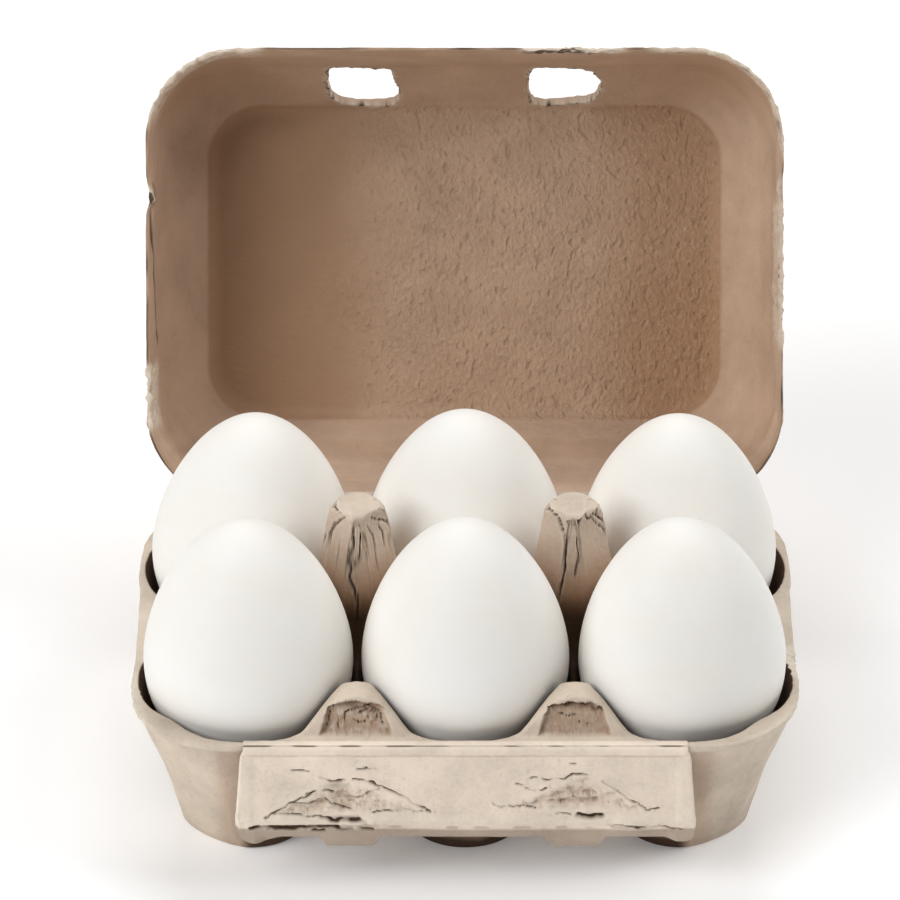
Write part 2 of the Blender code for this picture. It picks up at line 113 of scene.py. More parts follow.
# Profiles are in millimetres: distance out and height for a post, distance out and fall
# for an arch.
POST_PROFILE = ((0, 68), (5.2, 68), (6.4, 66.4), (8.0, 55), (10.3, 45), (14, 40), (19, 36.4))
POST_FRONT_SPREAD = 1.16
POST_BACK_SPREAD = 0.86
ARCH_PROFILE = ((0, 0), (2.5, 0.3), (5, 1.3), (8, 3.8), (10.5, 6.2), (12.4, 7.8))
WEB_HEIGHT = 38.0 * MM
WEB_SLOPE = 0.8
ARCH_HEIGHT = 44.3 * MM
ARCH_FOOT = 46.9 * MM
ARCH_TOP = 43.3 * MM
SIDE_ARCH_HEIGHT = 40.0 * MM
SIDE_ARCH_FOOT = 69.5 * MM
SIDE_ARCH_TOP = 67.5 * MM
ARCH_FADE = 7.4 * MM

# Flap; lengths down it are measured from its hinge.
FLAP_THICKNESS = 1.4 * MM
FLAP_HALF_TOP = 48.6 * MM
FLAP_HALF_BOTTOM = 50.0 * MM
FLAP_START = 0.8 * MM
FLAP_CREASE = 19.5 * MM
FLAP_LIP_END = 22.7 * MM
FLAP_TONGUE_END = 26.4 * MM
FLAP_LIP_BEND = math.radians(22)
FLAP_NOTCH = 50.2 * MM
FLAP_SLOT = 0.25 * MM
TONGUE_CENTRE = 24.3 * MM
TONGUE_HALF = 4.9 * MM

# Lid, measured from its hinge in its closed place; depth runs from its rim to its panel.
LID_RIM_GAP = 0.35 * MM
LID_LENGTH = 104.6 * MM
LID_THICKNESS = 1.5 * MM
# Each row, in millimetres: depth, then how far the inner face stands in from the front,
# the sides and the back of the rim, then the corner radius.
LID_SECTIONS = (
    (0.0, 1.5, 1.5, 1.5, 19.8),
    (7.0, 2.4, 1.65, 3.6, 19.8),
    (14.0, 4.0, 2.2, 4.6, 19.5),
    (22.8, 5.5, 4.4, 7.2, 18.5),
    (28.0, 9.0, 6.9, 9.8, 17.0),
    (33.0, 12.3, 10.0, 13.0, 15.0),
    (38.3, 15.3, 13.1, 15.8, 12.8),
    (39.8, 16.2, 14.0, 16.7, 12.0),
    (40.35, 17.0, 14.8, 17.5, 11.2),
    (40.5, 18.6, 16.4, 19.1, 9.8),
)
LATCH_CENTRE = 23.4 * MM
LATCH_WIDTH = 17.2 * MM
LATCH_NEAR = 22.5 * MM
LATCH_FAR = 38.6 * MM
LID_EDGE = 0.8 * MM
# Outlines of the torn latch holes, clockwise as seen from inside the open lid: across
# from the hole's middle in millimetres, then from 0 at its near edge to 1 at its far one.
LATCH_OUTLINES = {
    -1: ((-8.3, 0.03), (-5.5, 0.0), (-2.6, 0.02), (2.0, 0.05), (5.2, 0.06), (6.6, 0.17),
         (7.6, 0.42), (8.5, 0.62), (8.0, 0.84), (6.4, 0.98), (2.5, 1.0), (-2.5, 0.98),
         (-5.4, 0.93), (-7.6, 0.74), (-8.4, 0.4)),
    1: ((-8.2, 0.10), (-5.6, 0.0), (-1.0, 0.03), (4.5, 0.08), (6.6, 0.18), (8.5, 0.38),
        (7.8, 0.66), (6.9, 0.86), (3.6, 0.9), (1.5, 0.94), (-2.2, 0.97), (-5.0, 1.0),
        (-7.5, 0.94), (-8.4, 0.72), (-8.5, 0.3)),
}

# Eggs, blunt end down.
EGG_RADIUS = 22.6 * MM
EGG_HALF_HEIGHT = 29.8 * MM
EGG_TAPER = 0.19
EGG_BLUNTNESS = 0.6
EGG_MIDDLE_Z = 46.6 * MM
EGG_SEAT_Z = 41.0 * MM
EGG_SIDES = 96
EGG_BANDS = 72
LIGHT_AIM = 60 * MM
# Each egg's share of that radius and height, and its lean towards +X in degrees.
EGG_VARIATIONS = {
    "front": ((1.008, 1.0, -1.2), (1.0, 1.0, -0.5), (1.0, 0.998, -1.4)),
    "back": ((1.0, 0.965, 2.0), (1.0, 1.0, 0.0), (0.98, 0.96, 0.5)),
}

# Cracks of the flap, in millimetres: width, then points across and down it.
FLAP_CRACKS = (
    (0.19, ((-43.8, 17.2), (-36.2, 12.4), (-32.4, 10.2))),
    (0.29, ((-31.6, 6.8), (-29.2, 7.9), (-26.5, 7.6))),
    (0.21, ((-24.8, 7.0), (-22.0, 7.4), (-18.2, 9.1), (-13.2, 11.9), (-7.7, 15.4))),
    (0.19, ((-26.2, 12.2), (-23.4, 12.3), (-19.1, 9.5))),
    (0.16, ((-38.5, 13.4), (-34.0, 13.8), (-32.2, 12.4))),
    (0.16, ((-30.4, 12.8), (-27.2, 14.7), (-24.0, 15.4))),
    (0.17, ((-34.8, 10.7), (-32.6, 10.2))),
    (0.17, ((-31.2, 10.4), (-28.6, 10.5))),
    (0.14, ((-43.0, 16.4), (-38.0, 16.0), (-31.0, 16.8))),
    (0.12, ((-20.0, 15.6), (-14.0, 15.2), (-7.0, 15.6))),
    (0.49, ((-31.2, 16.9), (-28.6, 18.0), (-24.0, 17.8), (-21.6, 18.5))),
    (0.29, ((-47.0, 19.6), (-43.0, 19.9), (-38.0, 19.5), (-35.2, 19.7))),
    (0.29, ((-33.6, 19.9), (-31.0, 20.0))),
    (0.29, ((-28.0, 19.8), (-24.6, 19.9))),
    (0.28, ((-23.2, 19.8), (-20.0, 19.8))),
    (0.19, ((16.6, 7.2), (21.3, 7.1), (23.4, 6.2), (26.6, 5.7))),
    (0.16, ((30.0, 7.4), (33.3, 10.2), (37.0, 13.1), (39.2, 14.7))),
    (0.16, ((39.0, 14.9), (42.6, 14.6))),
    (0.21, ((13.2, 9.0), (15.6, 10.4), (17.5, 9.2))),
    (0.15, ((11.2, 8.3), (13.2, 8.5))),
    (0.15, ((14.4, 6.4), (15.6, 6.6))),
    (0.12, ((6.0, 13.5), (7.8, 14.3), (12.0, 14.2), (15.8, 14.7))),
    (0.21, ((21.0, 13.3), (22.6, 12.4), (23.6, 12.2))),
    (0.39, ((24.6, 16.6), (26.6, 17.2), (30.2, 16.8))),
    (0.21, ((20.0, 16.1), (23.0, 16.4))),
    (0.12, ((-38.0, 4.6), (-34.4, 4.7))),
    (0.14, ((-23.6, 4.4), (-19.6, 4.6))),
    (0.12, ((22.6, 3.0), (24.2, 3.0))),
    (0.14, ((31.0, 19.1), (38.0, 19.6), (44.0, 19.3), (47.6, 20.2))),
)
FLAP_HOLLOWS = (
    ((-25.6, 7.6), (-43.0, 16.6), (-8.6, 15.8)),
    ((25.6, 6.4), (7.4, 15.0), (40.0, 15.0)),
)
FLAP_PITS = ((-26.5, 17.4, 5.4, 1.2), (27.4, 16.9, 4.2, 1.1), (-28.0, 9.0, 4.0, 1.6))

# Cracks on the front of the two posts, in millimetres: width, then points across from
# the post's middle and up.
POST_CRACKS = {
    -1: (
        (0.17, ((-7.8, 63.6), (-7.0, 66.4), (-5.2, 67.8), (-3.8, 67.2))),
        (0.16, ((-2.6, 66.8), (-4.8, 64.2), (-6.1, 61.2), (-7.1, 57.5))),
        (0.20, ((-0.9, 65.1), (-0.8, 60.5), (-2.2, 58.1), (-1.3, 55.4), (-1.7, 53.4),
                (-0.7, 50.8), (0.1, 47.7), (-0.2, 44.0))),
        (0.14, ((0.7, 65.0), (0.6, 58.5), (-0.9, 56.0))),
        (0.12, ((2.6, 64.7), (4.4, 60.6), (6.5, 59.0))),
        (0.14, ((3.4, 66.4), (6.3, 64.0), (8.3, 60.6))),
        (0.12, ((1.8, 63.4), (2.6, 60.0), (4.6, 57.0))),
        (0.12, ((4.6, 67.4), (7.0, 66.0))),
        (0.11, ((-5.0, 64.6), (-6.6, 60.6), (-8.2, 59.0))),
        (0.11, ((4.8, 64.0), (5.8, 61.4), (7.6, 60.4))),
        (0.11, ((-3.4, 62.0), (-3.8, 59.0), (-4.8, 56.0))),
    ),
    1: (
        (0.20, ((-5.4, 67.4), (-3.4, 66.2), (-2.1, 63.1), (-1.8, 60.1), (-1.9, 55.4),
                (-2.7, 51.4), (-3.4, 48.6))),
        (0.16, ((-5.4, 67.4), (-7.2, 65.8), (-8.4, 62.6), (-8.9, 60.0))),
        (0.16, ((5.4, 67.2), (5.0, 66.2), (6.8, 63.7), (8.3, 60.1))),
        (0.12, ((3.6, 66.6), (4.4, 65.4), (7.3, 61.2))),
        (0.16, ((-1.8, 66.4), (0.8, 66.4), (2.6, 67.4))),
        (0.14, ((2.6, 67.0), (3.2, 66.0), (4.6, 66.6))),
        (0.09, ((0.8, 63.0), (1.2, 58.0), (0.6, 54.0))),
    ),
}

# Cracks in the pocket of each front arch, in millimetres: width, then points across from
# the arch's middle and above the rim.
POCKET_CRACKS = {
    -1: (
        (0.16, ((-2.3, 2.0), (-2.3, 3.7), (-0.4, 4.3), (2.7, 4.8), (5.1, 3.7), (6.0, 1.6))),
        (0.13, ((0.4, 3.5), (2.0, 4.1), (4.1, 3.6), (4.7, 2.2))),
        (0.23, ((0.8, 3.7), (1.0, 3.6))),
        (0.25, ((2.6, 2.9), (2.9, 2.8))),
        (0.13, ((-4.6, 5.2), (-5.6, 3.6), (-6.4, 1.4))),
        (0.11, ((-3.9, 3.2), (-4.2, 1.6), (-3.6, 0.8))),
        (0.11, ((-0.6, 2.4), (0.8, 1.8), (2.0, 2.0))),
    ),
    1: (
        (0.19, ((-6.6, 3.6), (-5.6, 4.8), (-3.7, 5.4), (-1.9, 4.9), (0.2, 5.4), (2.2, 4.9),
                (3.9, 5.8), (5.3, 4.8), (6.2, 3.6))),
        (0.14, ((3.4, 4.6), (4.4, 4.0), (5.4, 4.4))),
        (0.10, ((-3.6, 3.6), (-1.6, 3.0), (0.6, 3.4))),
        (0.09, ((0.8, 2.0), (2.8, 1.6))),
    ),
}


class CartonSizes(PropertyGroup):
    """Sizes of the pulp's relief and wear."""

    lump_height: FloatProperty(
        name="Lump Height",
        description="Height of the soft lumps over all of the pulp",
        default=0.11 * MM,
        min=0.0,
        subtype="DISTANCE",
        unit="LENGTH",
    )
    crack_depth: FloatProperty(
        name="Crack Depth",
        description="Depth of the cracks in the flap and the posts",
        default=0.7 * MM,
        min=0.0,
        subtype="DISTANCE",
        unit="LENGTH",
    )
    tear_depth: FloatProperty(
        name="Tear Depth",
        description="How far torn stretches of rim are bitten into",
        default=0.9 * MM,
        min=0.0,
        subtype="DISTANCE",
        unit="LENGTH",
    )
    pocket_depth: FloatProperty(
        name="Pocket Depth",
        description="Depth of the torn pocket in the face of each arch",
        default=1.6 * MM,
        min=0.0,
        subtype="DISTANCE",
        unit="LENGTH",
    )


class PulpFinish(PropertyGroup):
    """Colours and roughness of the pulp, with the colours of its painted shade and painted highlights."""

    tray_colour: FloatVectorProperty(
        name="Tray",
        description="Colour of the tray",
        default=(0.63, 0.53, 0.43),
        min=0.0,
        max=1.0,
        subtype="COLOR",
        size=3,
    )
    # Painted light: a paler, lit copy of the tray's pulp colour, which stands for the stronger light on the
    # flap.
    flap_lit_colour: FloatVectorProperty(
        name="Flap",
        description="Colour of the flap, which is paler",
        default=(0.82, 0.70, 0.58),
        min=0.0,
        max=1.0,
        subtype="COLOR",
        size=3,
    )
    # Painted shade: the dark brown that the tray and the flap are blended towards in the cups, low between the
    # eggs, behind the flap, on the flap's lip and in its hollows.
    shade_colour: FloatVectorProperty(
        name="Deep Pulp",
        description="Colour of the tray deep in its cups and low between the eggs",
        default=(0.31, 0.145, 0.06),
        min=0.0,
        max=1.0,
        subtype="COLOR",
        size=3,
    )
    # Painted shade: a browner, shaded copy of the tray's pulp colour over the whole lid.
    lid_shaded_colour: FloatVectorProperty(
        name="Lid",
        description="Colour of the lid, which is browner than the tray",
        default=(0.58, 0.42, 0.31),
        min=0.0,
        max=1.0,
        subtype="COLOR",
        size=3,
    )
    # Painted shade: the colour the lid is blended towards on its panel, towards its free end and in a band by
    # its hinge.
    lid_shade_colour: FloatVectorProperty(
        name="Lid Panel",
        description="Colour of the brownest parts of the lid",
        default=(0.40, 0.245, 0.145),
        min=0.0,
        max=1.0,
        subtype="COLOR",
        size=3,
    )
    # Painted shade: the near-black laid into cracks, folds, creases, slots, gaps and torn holes.
    crack_shade_colour: FloatVectorProperty(
        name="Cracks",
        description="Colour deep in cracks and folds",
        default=(0.075, 0.042, 0.025),
        min=0.0,
        max=1.0,
        subtype="COLOR",
        size=3,
    )
    # Paler torn fibres, and also the painted highlight on the flap's rolled edge and rounded sides.
    torn_and_highlight_colour: FloatVectorProperty(
        name="Torn Edge",
        description="Colour of torn pulp, paler than its skin",
        default=(0.80, 0.72, 0.60),
        min=0.0,
        max=1.0,
        subtype="COLOR",
        size=3,
    )
    roughness: FloatProperty(
        name="Roughness",
        description="Roughness of dry pulp",
        default=0.93,
        min=0.0,
        max=1.0,
        subtype="FACTOR",
    )


class EggFinish(PropertyGroup):
    """Colour and sheen of the eggshell."""

    shell_colour: FloatVectorProperty(
        name="Shell",
        description="Colour of the eggshell",
        default=(0.90, 0.885, 0.85),
        min=0.0,
        max=1.0,
        subtype="COLOR",
        size=3,
    )
    roughness: FloatProperty(
        name="Roughness",
        description="Roughness of the eggshell",
        default=0.55,
        min=0.0,
        max=1.0,
        subtype="FACTOR",
    )


class StudioSetup(PropertyGroup):
    """The camera's place and the lights' strength."""

    lens: FloatProperty(
        name="Lens",
        description="Focal length in millimetres on a 36 mm sensor",
        default=299.75,
        min=1.0,
    )
    camera_place: FloatVectorProperty(
        name="Camera",
        description="Where the camera stands",
        default=(-0.00338, -1.4592, 0.9249),
        subtype="TRANSLATION",
        unit="LENGTH",
        size=3,
    )
    camera_target: FloatVectorProperty(
        name="Target",
        description="The point that the camera looks at",
        default=(-0.00338, -0.036864, 0.08143),
        subtype="TRANSLATION",
        unit="LENGTH",
        size=3,
    )
    key_power: FloatProperty(
        name="Key Light",
        description="Power of the soft light at the front left",
        default=18.8,
        min=0.0,
        unit="POWER",
    )
    side_power: FloatProperty(
        name="Side Light",
        description="Power of the soft light at the right",
        default=12.6,
        min=0.0,
        unit="POWER",
    )
    back_power: FloatProperty(
        name="Back Light",
        description="Power of the soft light behind and above",
        default=13.0,
        min=0.0,
        unit="POWER",
    )
    light_distance: FloatProperty(
        name="Light Distance",
        description="How far the lights stand from the carton",
        default=1.6,
        min=0.1,
        unit="LENGTH",
    )
    light_size: FloatProperty(
        name="Light Size",
        description="Side of each square light",
        default=1.1,
        min=0.1,
        unit="LENGTH",
    )
    world_strength: FloatProperty(
        name="Surround",
        description="Strength of the even light all around",
        default=0.05,
        min=0.0,
    )
    floor_glow: FloatProperty(
        name="Floor Glow",
        description="How much the floor glows by itself, which softens the shadow on it",
        default=0.15,
        min=0.0,
    )
    floor_colour: FloatVectorProperty(
        name="Floor",
        description="Colour of the floor",
        default=(0.93, 0.93, 0.93),
        min=0.0,
        max=1.0,
        subtype="COLOR",
        size=3,
    )


# ---------------------------------------------------------------- shaping helpers

def smooth_max(first, second, softness):
    """The higher of two heights, with a rounded inner corner where they cross."""
    share = np.clip(0.5 + 0.5 * (second - first) / softness, 0.0, 1.0)
    return first * (1 - share) + second * share + softness * share * (1 - share)


def smooth_min(first, second, softness):
    """The lower of two heights, with a rounded edge where they cross."""
    return -smooth_max(-first, -second, softness)


def ramp(value, start, end):
    """From 0 at start to 1 at end, eased at both."""
    share = np.clip((value - start) / (end - start), 0.0, 1.0)
    return share * share * (3 - 2 * share)


def profile(value, points, softness=0.8):
    """Read a profile given in millimetres at a length in metres, with eased corners."""
    across = [point[0] for point in points]
    height = [point[1] for point in points]
    total = 0.0
    for nudge in (-1.0, -0.5, 0.0, 0.5, 1.0):
        total = total + np.interp(value / MM + nudge * softness, across, height)
    return total / 5 * MM


def lattice(cell, seed):
    """A fixed value between -1 and 1 for each whole-numbered place."""
    mixed = cell[:, 0] * 374761393 + cell[:, 1] * 668265263 + cell[:, 2] * 2147483629
    mixed = (mixed + seed * 1274126177) & 0xFFFFFFFF
    mixed = ((mixed ^ (mixed >> 13)) * 1274126177) & 0xFFFFFFFF
    mixed = ((mixed ^ (mixed >> 16)) * 668265263) & 0xFFFFFFFF
    return ((mixed >> 8) & 0xFFFF) / 32767.5 - 1.0


def noise(points, size, seed=0):
    """Smooth noise from -1 to 1 whose lumps are about one size across.

    size is one length in millimetres, or one for each direction.
    """
    place = points / (np.asarray(size, float) * MM)
    whole = np.floor(place).astype(np.int64)
    part = place - whole
    part = part * part * (3 - 2 * part)
    total = np.zeros(len(points))
    for corner in itertools.product((0, 1), repeat=3):
        weight = np.prod(np.where(corner, part, 1 - part), axis=1)
        total += weight * lattice(whole + np.array(corner), seed)
    return total


def ridged(points, size, seed=0):
    """Noise from 0 to 1 with sharp crests, like creased paper."""
    return 1 - np.abs(noise(points, size, seed))


def distance_to_line(across, along, line):
    """Distance in the plane to a line given by its corners."""
    best = np.full(len(across), np.inf)
    for (x0, y0), (x1, y1) in zip(line, line[1:]):
        dx = x1 - x0
        dy = y1 - y0
        share = ((across - x0) * dx + (along - y0) * dy) / (dx * dx + dy * dy)
        share = np.clip(share, 0.0, 1.0)
        best = np.minimum(best, np.hypot(across - x0 - share * dx, along - y0 - share * dy))
    return best


def cracks(across, along, lines):
    """Cracks, and the raised edges beside them, from 0 to 1; all in millimetres."""
    groove = np.zeros(len(across))
    ridge = np.zeros(len(across))
    for width, line in lines:
        distance = distance_to_line(across, along, line)
        groove = np.maximum(groove, np.exp(-(distance / width) ** 2))
        ridge = np.maximum(ridge, np.exp(-((distance - 2.4 * width) / (1.1 * width)) ** 2))
    return groove, ridge * (1 - groove)


def inside_triangle(across, along, corners, slope):
    """From 0 outside a triangle to 1 well inside it; slope is the width of its edge."""
    signs = []
    for (x0, y0), (x1, y1) in zip(corners, corners[1:] + corners[:1]):
        length = math.hypot(x1 - x0, y1 - y0)
        signs.append(((x1 - x0) * (along - y0) - (y1 - y0) * (across - x0)) / length)
    inner = np.minimum.reduce(signs)
    outer = -np.maximum.reduce(signs)
    return ramp(np.maximum(inner, outer), 0.0, slope)


def spaced(*stops):
    """Places with steps of changing size; each stop is a place and the step after it."""
    parts = []
    for (start, step), (end, _) in zip(stops, stops[1:]):
        count = max(1, round((end - start) / step))
        parts.append(np.linspace(start, end, count, endpoint=False))
    parts.append(np.array([stops[-1][0]], float))
    return np.concatenate(parts) * MM


class Skin:
    """Sheets of points that are joined into one closed mesh."""

    def __init__(self):
        self.points = []
        self.quads = []
        self.total = 0

    def sheet(self, rows, closed=False):
        """Add a grid of points, as an array of rows by columns by three."""
        tall, wide = rows.shape[:2]
        numbers = np.arange(tall * wide).reshape(tall, wide) + self.total
        if closed:
            numbers = np.hstack([numbers, numbers[:, :1]])
        corners = (numbers[:-1, :-1], numbers[:-1, 1:], numbers[1:, 1:], numbers[1:, :-1])
        self.quads.append(np.stack(corners, axis=-1).reshape(-1, 4))
        self.points.append(rows.reshape(-1, 3))
        self.total += tall * wide

    def to_mesh(self, name, finer=None):
        """Weld the sheets where they meet and turn every face outwards.

        finer says of a face's middle whether that face is cut into nine.
        """
        mesh = bpy.data.meshes.new(name)
        points = np.concatenate(self.points)
        quads = np.concatenate(self.quads)
        mesh.from_pydata(points.tolist(), [], quads.tolist())
        work = bmesh.new()
        work.from_mesh(mesh)
        bmesh.ops.remove_doubles(work, verts=work.verts, dist=4e-6)
        bmesh.ops.recalc_face_normals(work, faces=work.faces)
        if finer:
            edges = {e for face in work.faces if finer(face.calc_center_median()) for e in face.edges}
            edges = [edge for edge in work.edges if edge in edges]
            bmesh.ops.subdivide_edges(work, edges=edges, cuts=2, use_grid_fill=True)
            many = [face for face in work.faces if len(face.verts) > 4]
            bmesh.ops.triangulate(work, faces=many)
        work.to_mesh(mesh)
        work.free()
        mesh.shade_smooth()
        return mesh


def read_points(mesh):
    """The mesh's points and normals, as two arrays."""
    points = np.empty(len(mesh.vertices) * 3)
    normals = np.empty(len(mesh.vertices) * 3)
    mesh.vertices.foreach_get("co", points)
    mesh.vertices.foreach_get("normal", normals)
    return points.reshape(-1, 3), normals.reshape(-1, 3)


def write_points(mesh, points):
    mesh.vertices.foreach_set("co", points.reshape(-1))
    mesh.update()


def mark(mesh, marks):
    """Store each named number of every point, which the finish reads."""
    for name, values in marks.items():
        layer = mesh.attributes.new(name, "FLOAT", "POINT")
        layer.data.foreach_set("value", np.asarray(values, np.float32))


def lay(mesh, vectors):
    """Store each point's place along its own piece, which the finish's grain follows."""
    layer = mesh.attributes.new("lay", "FLOAT_VECTOR", "POINT")
    layer.data.foreach_set("vector", np.asarray(vectors, np.float32).reshape(-1))


def edge_rows(first, second, outward, bulge=0.6, steps=4):
    """Rows that round off an edge between two faces, both rows of points included."""
    middle = (first + second) / 2
    half = np.linalg.norm(first - second, axis=-1, keepdims=True) / 2
    rows = []
    for step in range(steps + 1):
        turn = math.pi * step / steps
        out = outward * half * bulge * math.sin(turn)
        rows.append(middle + (first - middle) * math.cos(turn) + out)
    return np.stack(rows)


def unit(vectors):
    length = np.linalg.norm(vectors, axis=-1, keepdims=True)
    return vectors / np.maximum(length, 1e-12)


def new_piece(name, mesh, finish):
    """Put a finished mesh in the scene, moved from the tray's centre to the frame."""
    mesh.transform(Matrix.Translation((0.0, CENTRE_Y, 0.0)))
    mesh.materials.append(finish)
    made = bpy.data.objects.new(name, mesh)
    bpy.context.scene.collection.objects.link(made)
    return made


def pulp_lumps(points, seed=0):
    """The soft unevenness that all of the pulp has, about from -1 to 1."""
    wide = noise(points, 8.0, seed)
    middle = noise(points, 2.6, seed + 1)
    fine = noise(points, 1.1, seed + 2)
    return 0.55 * wide + 0.4 * middle + 0.22 * fine


# ---------------------------------------------------------------- tray

def arch(across, along, height, foot, top, spread):
    """Height of an arch, across its ridge and along it towards the rim."""
    side = height - profile(across + spread, ARCH_PROFILE)
    face = RIM_HEIGHT + (foot - along - spread) * (height - RIM_HEIGHT) / (foot - top)
    fade = smooth_max(np.zeros_like(along), (top - ARCH_FADE - along) * 1.5, 2.2 * MM)
    return smooth_min(side - fade, face, 0.4 * MM)


def tray_roof(x, y, spread=0.0):
    """Height of what stands between the cups: rim, webs, arches and posts.

    With a spread the same shape is read that much further out, for the underside.
    """
    across = np.abs(np.abs(x) - PITCH_X / 2)
    along = np.abs(y)
    widen = np.where(y < 0, POST_FRONT_SPREAD, POST_BACK_SPREAD)
    widen = 1 + (widen - 1) * ramp(along, 0.0, 4.0 * MM)
    post = profile(np.hypot(across / widen, along) + spread, POST_PROFILE, 0.5)
    height = smooth_max(np.full_like(x, RIM_HEIGHT), post, 1.5 * MM) - 0.2 * MM
    front = arch(across, along, ARCH_HEIGHT, ARCH_FOOT, ARCH_TOP, spread)
    height = smooth_max(height, front, 0.8 * MM)
    side = arch(along, np.abs(x), SIDE_ARCH_HEIGHT, SIDE_ARCH_FOOT, SIDE_ARCH_TOP, spread)
    height = np.where(np.abs(x) > PITCH_X, smooth_max(height, side, 0.8 * MM), height)
    web = WEB_HEIGHT - WEB_SLOPE * (np.minimum(across, along) + spread)
    within = ramp(along, ARCH_TOP, ARCH_TOP - MM) * ramp(np.abs(x), SIDE_ARCH_TOP, SIDE_ARCH_TOP - MM)
    return np.maximum(height, web * within)


def foot_radius(column, row, dx, dy):
    """Outer radius of a cup's foot in each direction; the carton's corners are cut."""
    outward_x = dx * column > 0
    outward_y = dy * row > 0
    radius_x = np.where(outward_x, OUTER_FOOT_RADIUS, FOOT_RADIUS)
    power = np.where(outward_x & outward_y, 1.5, 2.0)
    total = (np.abs(dx) / radius_x) ** power + (np.abs(dy) / FOOT_RADIUS) ** power
    return total ** (-1.0 / power)


def cup_wall(radius, foot, low, top_radius, top_height, end_radius):
    """Height of a cup's wall: a cone to the rim, then steeper along a post."""
    first = low + (radius - foot) * (top_height - low) / (top_radius - foot)
    run = end_radius - top_radius
    second = top_height + (radius - top_radius) * (POST_HEIGHT - RIM_HEIGHT) / run
    return np.where(radius < top_radius, first, second)


def cup_inside(radius, foot, top):
    return cup_wall(radius, foot - WALL, CUP_FLOOR, top, RIM_HEIGHT, CUP_TOP_RADIUS)


def cup_outside(radius, foot, top):
    rim = RIM_HEIGHT - PULP
    return cup_wall(radius, foot, FOOT_EDGE, top + WALL, rim, CUP_TOP_RADIUS + WALL)


def facets(column, row, dx, dy):
    """Slight flats round the outside of a cup, as a share to add to its radius."""
    turn = np.arctan2(dy * row, dx * (column or 1))
    place = np.mod(turn - math.pi / 2 + FACET_START, FACET_TURN) / FACET_TURN - 0.5
    flat = np.cos(FACET_TURN / 2) / np.cos(place * FACET_TURN)
    return (flat - 0.96) * FACET_DEPTH / 0.04


def crossing(wall, roof, low, high):
    """Radius at which each rising wall meets the surface above it."""
    low = low.copy()
    top = high.copy()
    high = high.copy()
    for _ in range(34):
        middle = (low + high) / 2
        under = wall(middle) < roof(middle)
        low = np.where(under, middle, low)
        high = np.where(under, high, middle)
    return np.minimum((low + high) / 2, top)


def cell_outline(column, row):
    """Corners round one cup's share of the tray, and which of them lie on the rim."""
    half = PITCH_X / 2
    edge = RIM_FRONT if row < 0 else RIM_BACK
    out = column or 1
    along = spaced((0, 0.6), (13, 2.0), (34, 0.78), (edge / MM, 0))
    from_post = [np.stack([np.full(len(along), out * half), row * along], -1)]
    if column == 0:
        run = np.linspace(half, -half, 61)[1:]
        rim = [np.stack([run, np.full(len(run), row * edge)], -1)]
        back = along[::-1][1:]
        rest = [np.stack([np.full(len(back), -half), row * back], -1)]
        middle = spaced((0, 0.6), (13, 2.0), (half / MM, 0)) - half
        middle = np.concatenate([middle[:-1], -middle[::-1]])[1:-1]
        rest.append(np.stack([middle, np.zeros(len(middle))], -1))
    else:
        run = spaced((half / MM, 0.78), (34, 1.4), ((RIM_WIDTH / 2 - RIM_CORNER) / MM, 0))
        run = run[1:-1]
        rim = [np.stack([out * run, np.full(len(run), row * edge)], -1)]
        turn = np.linspace(0.0, math.pi / 2, 30)
        x = RIM_WIDTH / 2 - RIM_CORNER + RIM_CORNER * np.sin(turn)
        y = edge - RIM_CORNER + RIM_CORNER * np.cos(turn)
        rim.append(np.stack([out * x, row * y], -1))
        side = np.linspace(edge - RIM_CORNER, 0.0, 32)[1:]
        rim.append(np.stack([np.full(len(side), out * RIM_WIDTH / 2), row * side], -1))
        reach = RIM_WIDTH / 2 - half
        inner = spaced((0, 0.6), (13, 2.0), (37, 0.95), (reach / MM, 0))[::-1][1:-1]
        rest = [np.stack([out * (half + inner), np.zeros(len(inner))], -1)]
    first = len(from_post[0]) - 1
    last = first + sum(len(part) for part in rim)
    return np.concatenate(from_post + rim + rest), first, last


